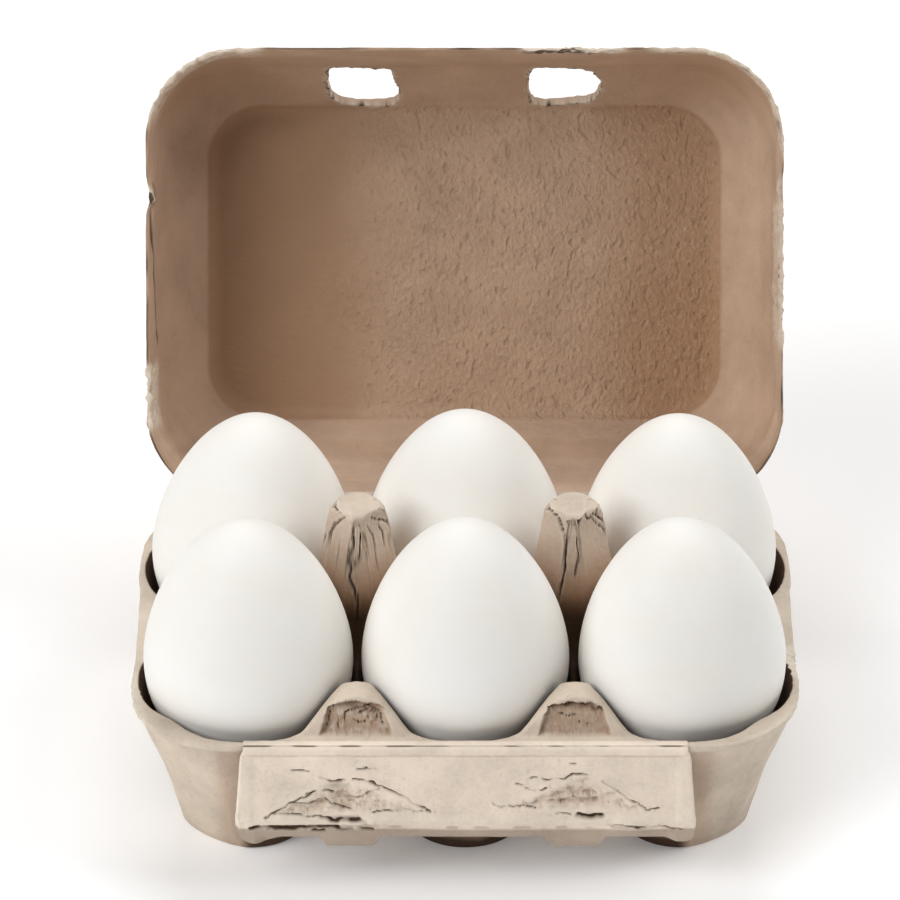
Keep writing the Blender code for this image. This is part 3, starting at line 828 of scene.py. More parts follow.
def add_cup(skin, column, row):
    """One cup with its share of the rim, its webs and its quarters of the posts."""
    centre = np.array([column * PITCH_X, row * PITCH_Y / 2])
    outline, first, last = cell_outline(column, row)
    front = (outline[:, 1] < -RIM_FRONT + 0.5 * MM) & (np.abs(outline[:, 0]) < FLAP_NOTCH)
    outline[front, 1] += FLAP_SLOT
    reach = np.linalg.norm(outline - centre, axis=1)
    ray = (outline - centre) / reach[:, None]
    foot = foot_radius(column, row, ray[:, 0], ray[:, 1])
    swell = 1 + facets(column, row, ray[:, 0], ray[:, 1])
    top_radius = CUP_RADIUS + SIDE_ROOM * ramp(ray[:, 0] * column, 0.6, 0.95)
    top_radius += FRONT_ROOM * ramp(-ray[:, 1], 0.72, 0.97)
    soft = SOFT_EDGE + (LIP_EDGE - SOFT_EDGE) * ramp(ray[:, 1] * row, 0.6, 0.92)

    def roof(radius, spread=0.0):
        spot = centre + ray * radius[:, None]
        return tray_roof(spot[:, 0], spot[:, 1], spread)

    def rows(radii, wall, cover, lowest, softness):
        made = []
        for radius in radii:
            radius = np.clip(radius, 0.0, reach)
            spot = centre + ray * radius[:, None]
            height = smooth_min(wall(radius), cover(radius), softness)
            height = np.maximum(height, lowest)
            made.append(np.column_stack([spot, height]))
        return np.stack(made)

    def inner_wall(radius):
        return cup_inside(radius, foot, top_radius)

    lip = crossing(inner_wall, roof, foot, reach)
    base = foot - WALL
    radii = [reach * 0, base * 0.5, base - MM, base]
    radii += [base + (lip - MM - base) * share for share in np.linspace(0, 1, 8)[1:]]
    radii += [lip + nudge * MM for nudge in (-0.6, -0.3, 0.0, 0.3, 0.6, 1.0)]
    outer = np.minimum(lip + 1.0 * MM, reach)
    radii += [outer + (reach - outer) * share for share in np.linspace(0, 1, 13)[1:]]
    top = rows(radii, inner_wall, roof, CUP_FLOOR, soft)
    skin.sheet(top, closed=True)

    def outer_wall(radius):
        share = ramp(radius, foot, CUP_RADIUS)
        bend = 1 + (swell - 1) * np.minimum(share * 3 + 0.3, 1) * (1 - share ** 6)
        return cup_outside(radius / bend, foot, top_radius)

    def under(radius):
        return roof(radius, WALL) - PULP

    eave = crossing(outer_wall, under, foot, reach)
    radii = [reach * 0, foot * 0.6, foot - FOOT_EDGE, foot - 0.4 * MM, foot + 0.3 * MM]
    radii += [foot + (eave - 0.5 * MM - foot) * share for share in np.linspace(0, 1, 8)[1:]]
    radii += [eave + 0.5 * MM]
    edge = np.minimum(eave + 0.5 * MM, reach)
    radii += [edge + (reach - edge) * share for share in np.linspace(0, 1, 6)[1:]]
    low = rows(radii, outer_wall, under, 0.0, SOFT_EDGE)
    low[:3, :, 2] = 0.0
    low[3, :, 2] = 0.35 * MM
    skin.sheet(low, closed=True)
    rim_top = top[-1][first:last + 1]
    rim_low = low[-1][first:last + 1]
    outward = unit(np.column_stack([ray, np.zeros(len(ray))]))[first:last + 1]
    skin.sheet(edge_rows(rim_top, rim_low, outward, 0.35))


def fine_place(middle):
    """Whether a face of the tray lies on a front arch or on a post's upper part."""
    across = abs(abs(middle.x) - PITCH_X / 2)
    on_arch = across < 11.5 * MM and -50.5 * MM < middle.y < -39 * MM
    on_post = across < 11.5 * MM and -13 * MM < middle.y < 1.5 * MM and middle.z > 50 * MM
    return (on_arch and middle.z > 35.6 * MM) or on_post


def arch_pocket(points, normals):
    """The torn pocket in the front of each front arch: its share, folds and cracks."""
    side = np.where(points[:, 0] < 0, -1, 1)
    across = points[:, 0] / MM - side * PITCH_X / 2 / MM
    rise = (points[:, 2] - RIM_HEIGHT) / MM
    along = -points[:, 1] / MM
    ragged = 0.22 * noise(points, 1.3, 40) + 0.12 * noise(points, 0.6, 43)
    width = 8.2 - 0.36 * rise + ragged
    top = 7.0 + ragged - 0.03 * across * across
    inside = ramp(width - np.abs(across), 0.0, 0.4) * ramp(rise, 0.1, 0.4)
    inside *= ramp(top - rise, 0.0, 0.3) * ramp(-normals[:, 1], 0.05, 0.4) * ramp(along, 42.4, 43.0)
    layered = np.where(side < 0, rise + 0.10 * across * across, rise - 0.12 * across)
    layered = np.column_stack([points[:, 0], 0 * rise, layered * MM])
    folds = ridged(layered, (3.4, 5.0, 1.7), 44) + 0.5 * ridged(points, (1.5, 5.0, 0.9), 45)
    folds = (folds - 0.9) * np.where(side < 0, 1.0, 0.45)
    crack = np.zeros(len(points))
    for which, lines in POCKET_CRACKS.items():
        near = (side == which) & (inside > 0.01)
        crack[near] = cracks(across[near] + ragged[near], 0.87 * rise[near], lines)[0]
    return inside, folds, crack * inside


def post_relief(points, normals):
    """Cracks, their raised edges and the facets of folds on the front of the posts."""
    crack = np.zeros(len(points))
    ridge = np.zeros(len(points))
    raised = np.zeros(len(points))
    wobble = 0.22 * noise(points, 1.6, 61) + 0.10 * noise(points, 0.7, 62)
    for side, lines in POST_CRACKS.items():
        across = points[:, 0] / MM - side * PITCH_X / 2 / MM
        up = points[:, 2] / MM
        near = (np.abs(across) < 13) & (points[:, 1] < 2 * MM) & (up > 42)
        near &= (points[:, 1] > -20 * MM) & (normals[:, 1] < 0.1)
        spot = across[near] + wobble[near]
        rise = up[near]
        grooves, ridges = cracks(spot, rise, lines)
        crack[near] = np.maximum(crack[near], grooves)
        ridge[near] = np.maximum(ridge[near], ridges)
        main = lines[2] if side < 0 else lines[0]
        heights = [point[1] for point in main[1]][::-1]
        places = [point[0] for point in main[1]][::-1]
        fold = spot - np.interp(rise, heights, places)
        ledge = -ramp(fold, -0.3, 0.5) * ramp(fold, 7.5, 3.0)
        raised[near] += ledge * ramp(rise, 68.5, 66.0) * ramp(rise, 40.0, 48.0)
        pleat = np.column_stack([spot * MM, points[near, 1] * 0.3, points[near, 2]])
        pleats = ridged(pleat, (1.9, 4.0, 6.0), 70 + side) - 0.6
        strength = 0.8 if side < 0 else 0.25
        raised[near] += strength * pleats * ramp(rise, 68.0, 66.8) * ramp(rise, 44.0, 54.0)
    return crack, ridge, raised


def tray_painted_shade(points, normals):
    """Painted shade on the tray, how brown and how dark: in its cups, low between the eggs, behind the flap."""
    x, y, z = (points / MM).T
    pitch = PITCH_X / MM
    to_x = np.clip(np.round(x / pitch), -1, 1) * pitch - x
    to_y = np.where(y < 0, -1.0, 1.0) * PITCH_Y / 2 / MM - y
    facing = (normals[:, 0] * to_x + normals[:, 1] * to_y) / np.hypot(to_x, to_y)
    # Painted shade in the cups round the eggs.
    cup = ramp(facing, 0.66, 0.86) * ramp(z, 1.0, 2.0)
    between = ramp(np.abs(y), 35.5, 33.0) * ramp(np.abs(x), 67.0, 64.0) * ramp(z, 34.0, 35.0)
    cup *= 1 - between
    # Painted shade low on the posts between the eggs, where the eggs shade them.
    post = between * (0.22 * ramp(z, 67.2, 66.2) + 0.68 * ramp(z, 62.0, 45.0))
    # Painted shade low in the gaps between the eggs.
    gap = between * ramp(z, 52.0, 43.0)
    # Painted shade in the slots between the eggs and the rim.
    slot = ramp(facing, 0.66, 0.84) * ramp(z, 30.0, 33.0) * (1 - between)
    # Painted shadow of the flap on the front walls beside it.
    wall = ramp(facing, 0.2, -0.2) * ramp(z, 35.2, 34.0) * ramp(y, -25.0, -30.0)
    wall *= 0.3 * ramp(np.abs(x), 56.0, 52.5)
    # Painted shadow under the flap's lip on the front feet.
    foot = ramp(facing, 0.2, -0.2) * ramp(z, 7.5, 2.5) * ramp(np.abs(x), 51.0, 47.0)
    foot *= ramp(y, -26.0, -33.0)
    dark = np.maximum.reduce([0.55 * cup, 0.8 * gap, 0.9 * slot, 0.75 * foot])
    return np.maximum.reduce([cup, post, wall, 0.6 * foot]), dark


def tray_relief(points, normals, sizes):
    """Move each point of the tray for lumps, folds and tears; also its marks, painted shade among them."""
    shift = sizes.lump_height * pulp_lumps(points)
    pocket, folds, torn_lines = arch_pocket(points, normals)
    crack, ridge, raised = post_relief(points, normals)
    shift += raised * 0.5 * MM + (0.22 * ridge * MM - crack * sizes.crack_depth)
    below = points[:, 2] < 0.4 * MM
    shift[below] = 0.0
    x, y, z = (points / MM).T
    on_rim = ramp(z, 33.5, 34.8) * ramp(z, 42.0, 40.0)
    edge = np.maximum(np.abs(x) - 71.0, np.abs(y) - RIM_FRONT / MM + 1.4)
    edge = np.maximum(edge, np.hypot(np.abs(x) - 51.7, np.abs(y) - 30.4) - 19.6)
    edge = ramp(edge, -0.6, 0.6) * on_rim
    frayed = ramp(x, 70.5, 71.5) * ramp(y, -8.0, -11.0) * ramp(y, -24.0, -20.0)
    frayed = np.maximum(frayed, ramp(-x, 69.0, 71.0) * ramp(y, -20.0, -24.0) * 0.5)
    frayed = np.maximum(frayed, 0.25 * ramp(noise(points, 9.0, 50), 0.2, 0.6)) * edge
    ragged = noise(points, 1.1, 51) + 0.6 * noise(points, 0.6, 52)
    moved = points + normals * shift[:, None]
    over = 1 + 0.4 * ramp(z, 41.4, 43.0)
    moved[:, 1] += pocket * (sizes.pocket_depth * over - 0.6 * MM * folds)
    moved[:, 1] += 0.5 * MM * torn_lines
    pull = frayed * sizes.tear_depth * ragged * 0.8
    moved += unit(points * [1, 1, 0]) * pull[:, None]
    moved[:, 2] -= frayed * 0.5 * MM * np.abs(noise(points, 1.4, 53))
    brown, dark = tray_painted_shade(points, normals)
    # Painted shadow under the overhanging cap of each arch pocket.
    cap_shadow = pocket * ramp(z, 42.4, 43.2) * 0.55
    # The cracks, the torn lines, the cap's shadow and the tray's darkest painted shade are all painted
    # near-black, as shade.
    crack = np.maximum.reduce([crack * 0.85, torn_lines * 0.9, cap_shadow, dark])
    # Painted shade in the recess of each arch pocket, less on the crests of its folds.
    brown = np.maximum(brown, pocket * (0.60 - 0.5 * ramp(folds, 0.0, 0.5)))
    # Pale torn fibres on the frayed rim and the rim's edge, and paler raised edges beside the cracks.
    torn = np.clip(frayed * 0.8 + edge * 0.15 + 0.35 * ridge, 0, 1)
    rough = np.clip(0.25 + 0.5 * pocket, 0, 1)
    return moved, {"crack": np.clip(crack, 0, 1), "torn": torn, "rough": rough, "brown": brown}


class CARTON_OT_tray(Operator):
    """Make the tray: six cups, two hollow posts, webs, arches and a flat rim"""

    bl_idname = "carton.tray"
    bl_label = "Make Tray"

    def execute(self, context):
        skin = Skin()
        for row in (-1, 1):
            for column in (-1, 0, 1):
                add_cup(skin, column, row)
        mesh = skin.to_mesh("tray_pulp", fine_place)
        points, normals = read_points(mesh)
        moved, marks = tray_relief(points, normals, context.scene.carton_sizes)
        write_points(mesh, moved)
        mark(mesh, marks)
        lay(mesh, points)
        made = new_piece("tray_pulp", mesh, pulp_finish(context, "tray_pulp"))
        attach(made, "tray")
        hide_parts("tray")
        return {"FINISHED"}


# ---------------------------------------------------------------- lid

def quarter(x, y, radius, start, steps):
    """A quarter circle of points about one corner's centre, from a start in degrees."""
    turn = np.radians(start + np.linspace(0, 90, steps + 1))
    return np.stack([x + radius * np.cos(turn), y + radius * np.sin(turn)], -1)


def straight(start, end, steps):
    """Points between two corners, without the corners."""
    share = np.linspace(0.0, 1.0, steps + 1)[1:-1, None]
    return np.array(start) * (1 - share) + np.array(end) * share


def lid_ring(front, side, back, corner):
    """Points round the inside of the lid at one depth, in its closed place."""
    half = RIM_WIDTH / 2 - side
    near = -LID_LENGTH + front
    far = -back
    inner = half - corner
    parts = [
        straight((-inner, near), (inner, near), 130),
        quarter(inner, near + corner, corner, -90, 30),
        straight((half, near + corner), (half, far - corner), 62),
        quarter(inner, far - corner, corner, 0, 30),
        straight((inner, far), (-inner, far), 88),
        quarter(-inner, far - corner, corner, 90, 30),
        straight((-half, far - corner), (-half, near + corner), 62),
        quarter(-inner, near + corner, corner, 180, 30),
    ]
    return np.concatenate(parts)


def lid_inside():
    """Rings down the lid's inner face, and then in over its panel to the middle."""
    depths = spaced((0, 0.3), (1.5, 0.9), (24, 0.8), (38, 0.35), (40.5, 0))
    columns = np.array(LID_SECTIONS).T
    rows = []
    for depth in depths:
        nudges = np.array((-1.4, -0.7, 0.0, 0.7, 1.4)) * min(1.0, depth / (3 * MM))
        nudges *= 1 - 0.75 * ramp(depth, 34 * MM, 36.5 * MM)
        places = depth / MM + nudges
        values = [np.interp(places, columns[0], column).mean() * MM for column in columns[1:]]
        ring = lid_ring(*values)
        rows.append(np.column_stack([ring, np.full(len(ring), LID_RIM_GAP + depth)]))
    last = rows[-1]
    middle_y = (last[:, 1].min() + last[:, 1].max()) / 2
    spine = last[:, 0].max() - (last[:, 1].max() - last[:, 1].min()) / 2
    centre = np.column_stack([
        np.clip(last[:, 0], -spine, spine),
        np.full(len(last), middle_y),
        np.full(len(last), last[0, 2]),
    ])
    for share in np.linspace(0, 1, 38)[1:]:
        rows.append(last * (1 - share) + centre * share)
    return np.stack(rows)


def grid_normals(rows):
    """Directions square to a closed grid of points, pointing out of the lid."""
    along = np.roll(rows, -1, axis=1) - np.roll(rows, 1, axis=1)
    down = np.gradient(rows, axis=0)
    normals = unit(np.cross(along, down))
    normals[-1] = (0.0, 0.0, 1.0)
    outward = np.sum(normals[5, :, :2] * rows[5, :, :2] - normals[5, :, :2] * rows[5].mean(0)[:2])
    if outward < 0:
        normals[:-1] *= -1
    return normals


def lid_painted_shade(x, up, deep, points):
    """Painted shade on the lid, from 0 to 1: its panel and its free end are browner and darker."""
    across = x + 4 * noise(points, 18.0, 23)
    panel = 0.85 - 0.5 * ramp(across, -38.0, -8.0) + 0.5 * ramp(across, 24.0, 46.0)
    panel += 0.15 * ramp(up, 60.0, 40.0) * ramp(across, -20.0, 0.0)
    wall = 0.22 + 0.25 * ramp(up, 84.0, 98.0) + 0.2 * ramp(-x, 30.0, 60.0) * ramp(up, 84.0, 98.0)
    wall += 0.15 * ramp(x, 30.0, 60.0) * ramp(up, 84.0, 98.0) - 0.3 * ramp(up, 16.0, 8.0)
    wall += 0.4 * ramp(np.abs(up - 9.5), 3.0, 1.0) + 0.3 * ramp(deep, 1.5, 0.3)
    on_panel = ramp(deep, 37.6, 38.7)
    return np.clip(wall * (1 - on_panel) + panel * on_panel, 0, 1)


def lid_relief(points, outside, sizes):
    """Move each point of the lid for lumps, streaks, folds and tears; also its marks.

    outside is 1 on the outer face. Places are across, up from the hinge, and deep.
    """
    x = points[:, 0] / MM
    up = -points[:, 1] / MM
    deep = (points[:, 2] - LID_RIM_GAP) / MM
    inside = 1 - outside
    shift = sizes.lump_height * pulp_lumps(points, 10)
    floor = ramp(deep, 36.0, 40.0) * inside
    rough_side = ramp(x + 5 * noise(points, 14.0, 20), -40.0, -10.0)
    streaks = noise(points, (1.4, 2.4, 9.0), 21)
    shift += floor * rough_side * MM * 0.07 * streaks
    gusset = np.zeros(len(points))
    crease = np.zeros(len(points))
    for side in (-1, 1):
        beside = side * x
        corner = ramp(up, 24.0, 18.0) * ramp(beside, 55.0, 62.0)
        line = deep - (2.4 + 0.30 * (22.0 - up))
        gusset += corner * np.exp(-(line / 0.9) ** 2)
        crease = np.maximum(crease, corner * np.exp(-((line - 1.5) / 0.45) ** 2) * (0.9 if side < 0 else 0.45))
    split = ramp(-x, 60.0, 64.0) * ramp(up, 34.0, 37.0) * ramp(up, 71.0, 69.0) * inside
    split *= np.exp(-((deep - 0.6 - 0.36 * (70.0 - up) - 1.6 * noise(points, 4.0, 24)) / 1.2) ** 2)
    crease = np.maximum(crease, 0.85 * split)
    shift += gusset * 0.7 * MM
    shift -= crease * 0.5 * MM
    bands = 0.35 * np.exp(-((up - 11.0) / 1.6) ** 2) * ramp(deep, 8.0, 14.0) * inside
    shift += bands * MM
    shift -= inside * (LID_THICKNESS - LID_EDGE) * ramp(deep, 5.0, 0.0)

    near_rim = ramp(deep, 3.2, 0.6)
    left = ramp(-x, 68.0, 70.5)
    right = ramp(x, 68.0, 70.5)
    notch_left = left * np.exp(-((up - 71.0) / 2.4) ** 2)
    notch_right = right * np.exp(-((up - 73.0) / 2.0) ** 2)
    crumple = left * ramp(up, 15.0, 19.0) * ramp(up, 33.0, 30.0)
    specks = right * ramp(up, 33.0, 38.0) * ramp(up, 72.0, 68.0)
    top = ramp(up, 99.0, 101.5)
    frayed_top = top * ramp(x, 11.0, 15.0) * ramp(x, 39.0, 34.0)
    frayed_left = ramp(up - 0.55 * (x + 73.0), 84.0, 90.0) * ramp(-x, 44.0, 50.0)
    frayed_right = ramp(up + 0.7 * (x - 73.0), 78.0, 84.0) * ramp(x, 38.0, 46.0)
    torn = np.maximum.reduce([
        0.9 * frayed_top, 0.8 * frayed_left, 0.7 * frayed_right, crumple, 0.7 * notch_left,
        0.8 * notch_right, 0.7 * specks, 0.12 * noise(points, 6.0, 30),
    ])
    patch = np.maximum(crumple * ramp(deep, 16.0, 9.0), 0.6 * specks * ramp(deep, 13.0, 7.0))
    patch = np.maximum(patch, 0.6 * frayed_left * ramp(deep, 9.0, 3.0))
    fleece = ridged(points, (2.4, 2.4, 2.4), 37) + 0.5 * ridged(points, (1.1, 1.3, 1.1), 38)
    torn = np.maximum(torn * near_rim, patch * inside * ramp(fleece, 0.5, 1.1))
    ragged = noise(points, 1.3, 31) + 0.6 * noise(points, 0.7, 32)
    moved_in = torn * sizes.tear_depth * (0.3 + 0.75 * ragged)
    moved_in += near_rim * MM * (1.6 * notch_left + 1.1 * notch_right)
    centre = np.column_stack([points[:, 0], points[:, 1] + LID_LENGTH / 2, np.zeros(len(x))])
    inward = -unit(centre * np.array([0.7, 1.0, 0.0]))
    folds = crumple * ramp(deep, 6.0, 1.0) * noise(points, (2.0, 2.2, 2.0), 33) * 0.8 * MM
    rise = torn * 0.35 * MM * noise(points, 1.5, 34)
    pock = ramp(noise(points, 1.5, 35), 0.45, 0.75) * specks * ramp(deep, 5.0, 2.0)
    hole = left * np.exp(-(((up - 70.4) / 2.3) ** 2 + ((deep - 4.6) / 5.4) ** 2))
    layers = ramp(noise(points, (5.0, 3.0, 0.9), 39), 0.1, 0.45) * ramp(deep, 4.5, 1.0) * inside
    layers *= np.maximum(frayed_top, 0.6 * frayed_right)
    # A painted dark line along the rim on the outer face.
    outline = outside * ramp(deep, 0.9, 0.2) * (0.45 + 0.3 * noise(points, 5.0, 36))
    outline *= 1 - np.clip(1.4 * torn, 0, 1)
    # Painted shade in the crack mark: in the gussets' creases and the split, in the notch hole, in ragged tears
    # and between torn layers, with the dark dots of the speckled band.
    dark = np.clip(crease + pock + hole * inside + torn * ramp(ragged, 0.9, 1.4) * 0.6, 0, 1)
    dark = np.maximum.reduce([dark, outline, 0.7 * layers])
    marks = {"crack": dark, "torn": torn, "rough": floor * rough_side + 0.25 * outside}
    # Painted shade over the inside of the lid, and an even 0.3 share of it over the whole outer face.
    marks["brown"] = inside * lid_painted_shade(x, up, deep, points) + 0.3 * outside
    shift += folds - hole * 0.9 * MM
    return shift, inward * moved_in[:, None], rise, marks


def latch_outline(side):
    """The ragged outline of one latch hole: across from its middle, and deep."""
    corners = np.array(LATCH_OUTLINES[side])
    corners[:, 0] *= MM
    corners[:, 1] = LID_RIM_GAP + LATCH_NEAR + corners[:, 1] * (LATCH_FAR - LATCH_NEAR)
    for _ in range(3):
        after = np.roll(corners, -1, axis=0)
        cut = np.stack([0.75 * corners + 0.25 * after, 0.25 * corners + 0.75 * after], axis=1)
        corners = cut.reshape(-1, 2)
    place = np.column_stack([corners[:, 0], 0 * corners[:, 0], corners[:, 1]])
    out = unit(corners - corners.mean(axis=0))
    ragged = 0.25 * noise(place, 1.5, 80 + side) + 0.16 * noise(place, 0.7, 84 + side)
    return corners + out * (ragged * MM)[:, None]


def latch_cutter(name, side):
    """A block with a ragged outline that tears one latch hole through the lid."""
    outline = latch_outline(side)
    count = len(outline)
    x = side * LATCH_CENTRE
    points = []
    for y in (-LID_LENGTH - MM, -LID_LENGTH + 22 * MM):
        points += [(x + px, y, pz) for px, pz in outline]
    faces = [list(range(count))[::-1], list(range(count, 2 * count))]
    for k in range(count):
        after = (k + 1) % count
        faces.append([k, after, count + after, count + k])
    mesh = bpy.data.meshes.new(name)
    mesh.from_pydata(points, [], faces)
    work = bmesh.new()
    work.from_mesh(mesh)
    bmesh.ops.recalc_face_normals(work, faces=work.faces)
    work.to_mesh(mesh)
    work.free()
    made = bpy.data.objects.new(name, mesh)
    bpy.context.scene.collection.objects.link(made)
    return made


def cut_latch_holes(mesh):
    """Tear both latch holes through the lid and return the new mesh."""
    lid = bpy.data.objects.new("lid_before_latches", mesh)
    bpy.context.scene.collection.objects.link(lid)
    cutters = []
    for side, sign in (("left", -1), ("right", 1)):
        cutter = latch_cutter("latch_cutter_" + side, sign)
        cut = lid.modifiers.new("latch_hole_" + side, "BOOLEAN")
        cut.operation = "DIFFERENCE"
        cut.solver = "EXACT"
        cut.object = cutter
        cutters.append(cutter)
    ready = lid.evaluated_get(bpy.context.evaluated_depsgraph_get())
    made = bpy.data.meshes.new_from_object(ready)
    made.name = "lid_pulp"
    for spare in cutters + [lid]:
        spare_mesh = spare.data
        bpy.data.objects.remove(spare, do_unlink=True)
        bpy.data.meshes.remove(spare_mesh)
    return made


def fray_latch_holes(mesh):
    """Ruffle the torn edges of both latch holes and mark pale torn fibres and dark patches along them."""
    points, normals = read_points(mesh)
    near = np.full(len(points), 9.0)
    at_front = points[:, 1] < -0.7 * LID_LENGTH
    for sign in (-1, 1):
        outline = latch_outline(sign) / MM
        outline = np.vstack([outline, outline[:1]])
        across = points[at_front, 0] / MM - sign * LATCH_CENTRE / MM
        distance = distance_to_line(across, points[at_front, 2] / MM, outline)
        near[at_front] = np.minimum(near[at_front], distance)
    ragged = noise(points, (1.2, 1.2, 1.2), 87)
    fibres = noise(points, (0.9, 0.6, 0.6), 88)
    edge = ramp(near, 0.9 + 0.7 * ragged, 0.1) * (1 - 0.85 * ramp(-normals[:, 1], 0.3, 0.6))
    write_points(mesh, points + normals * (edge * 0.25 * MM * fibres)[:, None])
    for name, add in (("torn", edge * ramp(ragged, -0.5, 0.3)), ("crack", edge * ramp(fibres, 0.1, 0.5))):
        values = np.zeros(len(points))
        mesh.attributes[name].data.foreach_get("value", values)
        mesh.attributes[name].data.foreach_set("value", np.maximum(values, 0.85 * add))


class CARTON_OT_lid(Operator):
    """Make the lid, open, with its torn rim and its two latch holes"""

    bl_idname = "carton.lid"
    bl_label = "Make Lid"

    def execute(self, context):
        sizes = context.scene.carton_sizes
        inner = lid_inside()
        normals = grid_normals(inner)
        outer = inner + normals * LID_THICKNESS
        outer[0, :, 2] = inner[0, :, 2]
        marks = []
        places = []
        faces = []
        for rows, outside in ((inner, 0.0), (outer, 1.0)):
            flat = rows.reshape(-1, 3)
            side = np.full(len(flat), outside)
            shift, inward, rise, found = lid_relief(flat, side, sizes)
            direction = normals.reshape(-1, 3) * (1 if outside else -1)
            moved = flat + direction * shift[:, None] + inward
            moved[:, 2] += np.abs(rise)
            faces.append(moved.reshape(rows.shape))
            marks.append(found)
            places.append(flat)
        rim_out = unit(outer[0] - inner[0])
        edge = edge_rows(faces[0][0], faces[1][0], np.array([0.0, 0.0, -1.0]) + 0 * rim_out, 0.3)
        skin = Skin()
        skin.sheet(faces[0], closed=True)
        skin.sheet(faces[1], closed=True)
        skin.sheet(edge, closed=True)
        mesh = skin.to_mesh("lid_whole")
        points, _ = read_points(mesh)
        known = np.concatenate([faces[0].reshape(-1, 3), faces[1].reshape(-1, 3)])
        tree = nearest_finder(known)
        near = np.array([tree.find(point)[1] for point in points])
        both = {name: np.concatenate([marks[0][name], marks[1][name]])[near] for name in marks[0]}
        mark(mesh, both)
        lay(mesh, np.concatenate(places)[near])
        mesh = cut_latch_holes(mesh)
        fray_latch_holes(mesh)
        mesh.shade_smooth()
        mesh.set_sharp_from_angle(angle=math.radians(55))
        swing = Matrix.Rotation(-open_angle(), 4, "X")
        mesh.transform(Matrix.Translation((0.0, LID_AXIS_Y, LID_AXIS_Z)) @ swing)
        made = new_piece("lid_pulp", mesh, pulp_finish(context, "lid_pulp"))
        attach(made, "lid")
        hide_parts("lid")
        return {"FINISHED"}


def open_angle():
    """How far the lid stands open; its hinge shuts it at the top of its range."""
    return math.radians(max(JOINTS["lid_hinge"]["range_deg"]))


def nearest_finder(points):
    """A search tree over points."""
    from mathutils.kdtree import KDTree

    tree = KDTree(len(points))
    for number, point in enumerate(points):
        tree.insert(point, number)
    tree.balance()
    return tree


# ---------------------------------------------------------------- flap

def flap_bottom(x):
    """How far down the flap reaches at each place across it, in millimetres."""
    bottom = np.full_like(x, FLAP_LIP_END / MM)
    for centre in (-TONGUE_CENTRE / MM - 0.7, TONGUE_CENTRE / MM - 0.3):
        past = np.abs(x - centre) - TONGUE_HALF / MM
        bottom += (FLAP_TONGUE_END - FLAP_LIP_END) / MM * ramp(past, 2.1, 0.0)
    bottom += 1.5 * ramp(x, -40.0, -44.5) + 0.9 * ramp(x, 43.0, 46.5)
    half = FLAP_HALF_BOTTOM / MM
    for sign, radius in ((-1, 4.6), (1, 2.4)):
        inset = np.clip(sign * x - (half - radius), 0.0, radius)
        bottom -= radius - np.sqrt(np.maximum(radius * radius - inset * inset, 0.0))
    return bottom


def flap_rows():
    """The flap's middle surface: places across, places down, and the points."""
    half = FLAP_HALF_TOP / MM
    edge = half - 2.0
    across = np.concatenate([
        np.linspace(-half, -edge, 9)[:-1],
        np.linspace(-edge, edge, 310),
        np.linspace(edge, half, 9)[1:],
    ])
    spread = across * FLAP_HALF_BOTTOM / FLAP_HALF_TOP
    bottom = flap_bottom(spread)
    place = np.column_stack([spread * MM, spread * 0, spread * 0])
    crease = FLAP_CREASE / MM + 0.25 * noise(place, 9.0, 90)
    crease = np.minimum(crease, bottom - 1.0)
    down = [FLAP_START / MM + (crease - FLAP_START / MM) * t for t in np.linspace(0, 1, 66)]
    down += [crease + (bottom - crease) * t for t in np.linspace(0, 1, 24)[1:]]
    down = np.stack(down)
    wide = across * (1 + (FLAP_HALF_BOTTOM / FLAP_HALF_TOP - 1) * down / (FLAP_CREASE / MM))
    bend = FLAP_LIP_BEND * ramp(down - crease, -0.5, 0.7)
    bend *= ramp(np.abs(wide), 46.5, 43.0) * 0.8 + 0.2
    steps = np.diff(down, axis=0, prepend=np.zeros((1, down.shape[1])))
    y = np.cumsum(steps * np.sin(bend), axis=0)
    z = -np.cumsum(steps * np.cos(bend), axis=0)
    points = np.stack([wide, y, z], axis=-1) * MM
    facing = np.stack([0 * bend, -np.cos(bend), -np.sin(bend)], axis=-1)
    return wide, down, crease + 0 * down, points, facing


